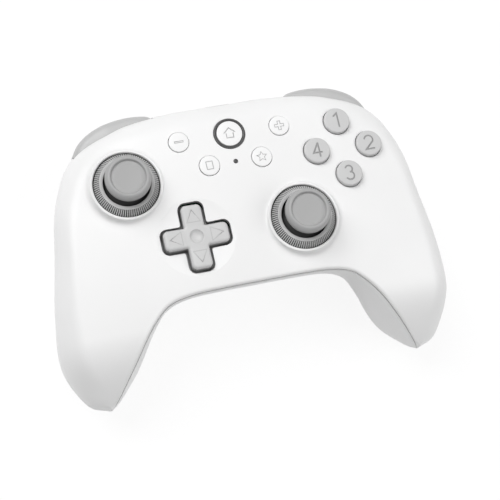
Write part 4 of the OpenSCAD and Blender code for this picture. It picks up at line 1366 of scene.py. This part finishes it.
def buttonBody(name, spot, size, paint):
    r = size["r"]
    edge = size["edge"]
    low = button["low"]
    step = low + button["flangeHigh"]
    brim = r + button["flange"]
    top = float(faceHeight(*spot)) + size["rise"]
    shoulder = top - size["crown"] - edge
    rim = r - edge
    profile = [(0, low), (brim, low), (brim, step), (r, step), (r, shoulder - 0.6)]
    profile += arc(rim, shoulder, edge, 0, 84, 7)
    for k in range(1, button["crownSteps"] + 1):
        out = rim * (1 - k / button["crownSteps"])
        profile.append((out, top - size["crown"] * (out / rim) ** 2))
    return lathe(name, profile, spot, paint), top


def strokeOutline(path, width):
    # Both sides of a line drawn with a flat pen, mitred at its corners
    spots = [np.array(p, float) for p in path]
    ways = [unit(b - a) for a, b in zip(spots, spots[1:])]
    left = []
    right = []
    for k, spot in enumerate(spots):
        after = ways[min(k, len(ways) - 1)]
        lean = unit(ways[max(k - 1, 0)] + after)
        reach = width / 2 / max(lean.dot(after), 0.35)
        side = np.array((-lean[1], lean[0])) * reach
        left.append(tuple(spot + side))
        right.append(tuple(spot - side))
    return left + right[::-1]


# The digits' strokes, and the button that each one is on
digits = {
    "top": [[(-1.15, 1.55), (0.35, 2.7), (0.35, -2.75)]],
    "right": [arc(-0.02, 1.12, 1.58, 168, -34, 14) + [(-1.55, -2.42), (1.7, -2.42)]],
    "bottom": [arc(-0.12, 1.36, 1.3, 160, -84, 14), arc(-0.12, -1.2, 1.48, 84, -160, 14)],
    "left": [[(0.62, 2.6), (-1.65, -1.05), (1.75, -1.05)], [(0.62, 2.75), (0.62, -2.75)]],
}
facePaint = ("keyGrey", "markGrey")
for place, spot in faceSpots.items():
    piece, top = buttonBody("faceButton" + place.capitalize(), spot, button["face"], facePaint)
    for path in digits[place]:
        outline = shifted(strokeOutline(path, button["digitLine"]), spot)
        carve(piece, [markTool(prism("tool", outline, top - button["digitDeep"], top + 1), 1, facePaint)])
    smoothBy(piece)
    dress(piece, "face_button_" + place, "key_grey", "face_button_" + place)


def barOutline(wide, high):
    return [(-wide / 2, -high / 2), (wide / 2, -high / 2), (wide / 2, high / 2), (-wide / 2, high / 2)]


def crossOutline(span, arm):
    h = span / 2
    a = arm / 2
    return [(-h, -a), (-a, -a), (-a, -h), (a, -h), (a, -a), (h, -a),
            (h, a), (a, a), (a, h), (-a, h), (-a, a), (-h, a)]


def starOutline(outR, inR):
    found = []
    for k in range(10):
        r = outR if k % 2 == 0 else inR
        turn = math.pi / 2 + math.pi / 5 * k
        found.append((r * math.cos(turn), r * math.sin(turn)))
    return found


def houseOutline(size, shrink=1.0, drop=0.0):
    corners = ((-0.62, -0.8), (0.62, -0.8), (0.62, 0.1), (1.0, 0.1), (0, 1.0), (-1.0, 0.1), (-0.62, 0.1))
    return [(x * size * shrink, y * size * shrink - drop) for x, y in corners]


# Each sign's outline and the outline left standing inside it
marks = {
    "minus": (barOutline(3.4, 0.8), barOutline(2.9, 0.3)),
    "plus": (crossOutline(3.6, 1.2), crossOutline(3.1, 0.7)),
    "profile": (barOutline(2.6, 3.2), barOutline(2.0, 2.6)),
    "star": (starOutline(2.15, 1.0), starOutline(1.65, 0.74)),
    "home": (houseOutline(2.3), houseOutline(2.3, 0.78, 0.06)),
}
markPaint = ("buttonWhite", "faintGrey")
for kind, spot in {**places["menu"], "home": places["home"]}.items():
    piece, top = buttonBody(kind + "Button", spot, button.get(kind, button["menu"]), markPaint)
    mark = hollowTool(*marks[kind], spot, top - button["markDeep"], top + 2, markPaint)
    smoothBy(carve(piece, [mark], solver="EXACT"))
    dress(piece, kind + "_button", "button_white", kind + "_button")

# Radius and height above the face
homeRing = [(4.9, -3), (4.9, 0.12), (4.98, 0.22), (5.1, 0.28), (5.55, 0.28), (5.68, 0.22), (5.75, 0.1),
            (5.75, -3), (4.9, -3)]
statusDot = [(0.78, -0.02), (0.7, 0.04), (0.4, 0.08), (0, 0.1)]
dotLow = 39.3


def makeHomeRing():
    z = float(faceHeight(*places["home"]))
    return smoothBy(lathe("homeRing", [(r, z + h) for r, h in homeRing], places["home"], ("ledGrey",)), 35)


def makeStatusDot():
    z = float(faceHeight(*places["light"]))
    profile = [(0, dotLow), (statusDot[0][0], dotLow)] + [(r, z + h) for r, h in statusDot]
    return smoothBy(lathe("statusDot", profile, places["light"], ("ledGrey",), 40), 40)


dress(makeHomeRing(), "casing", "dark_plastic", "home_ring")
dress(makeStatusDot(), "casing", "dark_plastic", "status_light")
print("stage: buttons")

# Bumpers and triggers


def makeBumper(side):
    low = bumperShape["low"]
    high = bumperShape["high"]
    outer, inner = (smoothCurve(bumperShape[key], bumperShape["steps"]) for key in ("outer", "inner"))
    # Distance in from the outer face and share of the height, from below to above
    section = [(1.1, 0.0), (0.5, 0.015), (0.15, 0.05), (0, 0.12), (0, 0.3), (0.03, 0.46), (0.16, 0.6),
               (0.42, 0.72), (0.85, 0.83), (1.45, 0.915), (2.2, 0.97), (3.0, 0.997), (3.6, 1.0)]
    rows = []
    for o, i in zip(outer, inner):
        inwards = unit(i - o)
        drop = bumperFall((o[0] + i[0]) / 2)
        row = [(*(o + inwards * c), low + share * (high - low - drop)) for c, share in section]
        row += [(i[0], i[1], high - drop), (i[0], i[1], low)]
        rows.append(np.array(row))
    # Rounded ends
    for end, beside in ((0, 1), (-1, -2)):
        middle = rows[end].mean(axis=0)
        away = unit(middle - rows[beside].mean(axis=0))
        rounded = [middle + (rows[end] - middle) * share + away * step
                   for share, step in ((0.97, 0.12), (0.9, 0.22))]
        rows = rounded[::-1] + rows if end == 0 else rows + rounded
    rows = [[(side * x, y, z) for x, y, z in row] for row in rows]
    return smoothBy(loft("leftBumper" if side < 0 else "rightBumper", rows, ("bumperGrey",)), 38)


paddleBack = [(46.4, 0.8), (42.8, 6.5), (39.8, 12), (37.6, 17), (36.8, 22)]
triggerShape = {
    "face": [(43, 31.6), (47, 31.0), (49.6, 25), (49.8, 16), (49.4, 8), (51.4, 2.4), (50.8, 0)],
    "faceSteps": 8,
    "back": paddleBack + [(39.0, 22.8), (41.2, 23)],
    "cheek": paddleBack + [(37.4, 26.5), (39.6, 30.4)],
    "backSteps": 4,
    "cheekFrom": 51.1,
    "cheekTo": 52.1,
    "inX": 33.4,
    "outX": 53.2,
    "plan": [(33.4, 52.6), (40, 52.2), (45, 50.2), (49, 47), (53.2, 42.4)],
    "planSteps": 8,
    "blend": 3.0,
    "thick": 3.4,
    "round": 1.1,
    "roundSteps": 5,
    "middleSteps": 18,
    "cornerR": 5.5,
    "cornerHigh": 13.0,
    "hubX": (38.4, 45.4),
    "hubR": 3.0,
    "armY": 45.0,
    "armDrop": 1.0,
    "armTop": 31.2,
    "boreR": 1.45,
}


def softMin(a, b, blend):
    near = max(blend - abs(a - b), 0.0) / blend
    return min(a, b) - near * near * blend / 4


def triggerRow(x, inset, front, back, cheek, plan):
    shape = triggerShape
    # The outer side closes the pocket up to the top
    side = float(np.interp(x, (shape["cheekFrom"], shape["cheekTo"]), (0.0, 1.0)))
    back = np.array(back) * (1 - side) + np.array(cheek) * side
    limit = float(np.interp(x, [p[0] for p in plan], [p[1] for p in plan]))
    row = [(softMin(y, limit, shape["blend"]), z) for y, z in front]
    row += [(softMin(y, limit - shape["thick"], shape["blend"]), z) for y, z in back]
    if inset > 0:
        row = widened(row, -inset)
    # Rounded lower corners, seen from behind
    toSide = min(x - shape["inX"], shape["outX"] - x)
    share = max(0.0, 1 - toSide / shape["cornerR"])
    lift = shape["cornerR"] * (1 - math.sqrt(1 - share * share))
    return [(x, y, z + lift * max(0.0, 1 - z / shape["cornerHigh"])) for y, z in row]


def makePaddle(name):
    shape = triggerShape
    front = smoothCurve(shape["face"], shape["faceSteps"])
    back = smoothCurve(shape["back"], shape["backSteps"])
    cheek = smoothCurve(shape["cheek"], shape["backSteps"])
    plan = smoothCurve(shape["plan"], shape["planSteps"])
    # Across the paddle: a rounded side, the middle, and the other rounded side
    r = shape["round"]
    turns = [math.pi / 2 * k / shape["roundSteps"] for k in range(shape["roundSteps"] + 1)]
    sides = [(r * (1 - math.cos(t)), r * (1 - math.sin(t))) for t in turns]
    middle = np.linspace(shape["inX"] + r, shape["outX"] - r, shape["middleSteps"])[1:-1]
    stations = [(shape["inX"] + d, inset) for d, inset in sides]
    stations += [(x, 0.0) for x in middle]
    stations += [(shape["outX"] - d, inset) for d, inset in sides[::-1]]
    rows = [triggerRow(x, inset, front, back, cheek, plan) for x, inset in stations]
    return loft(name, rows, ("bumperGrey",))


def makeHub():
    # The arm to the pin, with the pin's bore
    shape = triggerShape
    py = pocket["pinY"]
    pz = pocket["pinZ"]
    r = shape["hubR"]
    outline = arc(py, pz, r, 78, 282, 17)
    outline += [(shape["armY"], pz - r - shape["armDrop"]), (shape["armY"], shape["armTop"])]
    hub = loft("hub", [[(x, y, z) for y, z in outline] for x in shape["hubX"]], ("bumperGrey",))
    reach = shape["hubX"][1]
    bore = prism("tool", circle(0, 0, shape["boreR"]), -reach, reach, ("bumperGrey",))
    lay = Matrix.Rotation(math.pi / 2, 4, "Y")
    bore.data.transform(Matrix.Translation((reach * mm, py * mm, pz * mm)) @ lay)
    return carve(hub, [bore])


def makeTrigger(side):
    piece = joinInto(makePaddle("leftTrigger" if side < 0 else "rightTrigger"), [makeHub()])
    if side < 0:
        piece.data.transform(Matrix.Scale(-1, 4, (1, 0, 0)))
        piece.data.flip_normals()
    return smoothBy(piece, 34)


for label, side in (("left", -1), ("right", 1)):
    dress(makeBumper(side), label + "_bumper", "bumper_grey", label + "_bumper")
    dress(makeTrigger(side), label + "_trigger", "bumper_grey", label + "_trigger")
print("stage: bumpers and triggers")
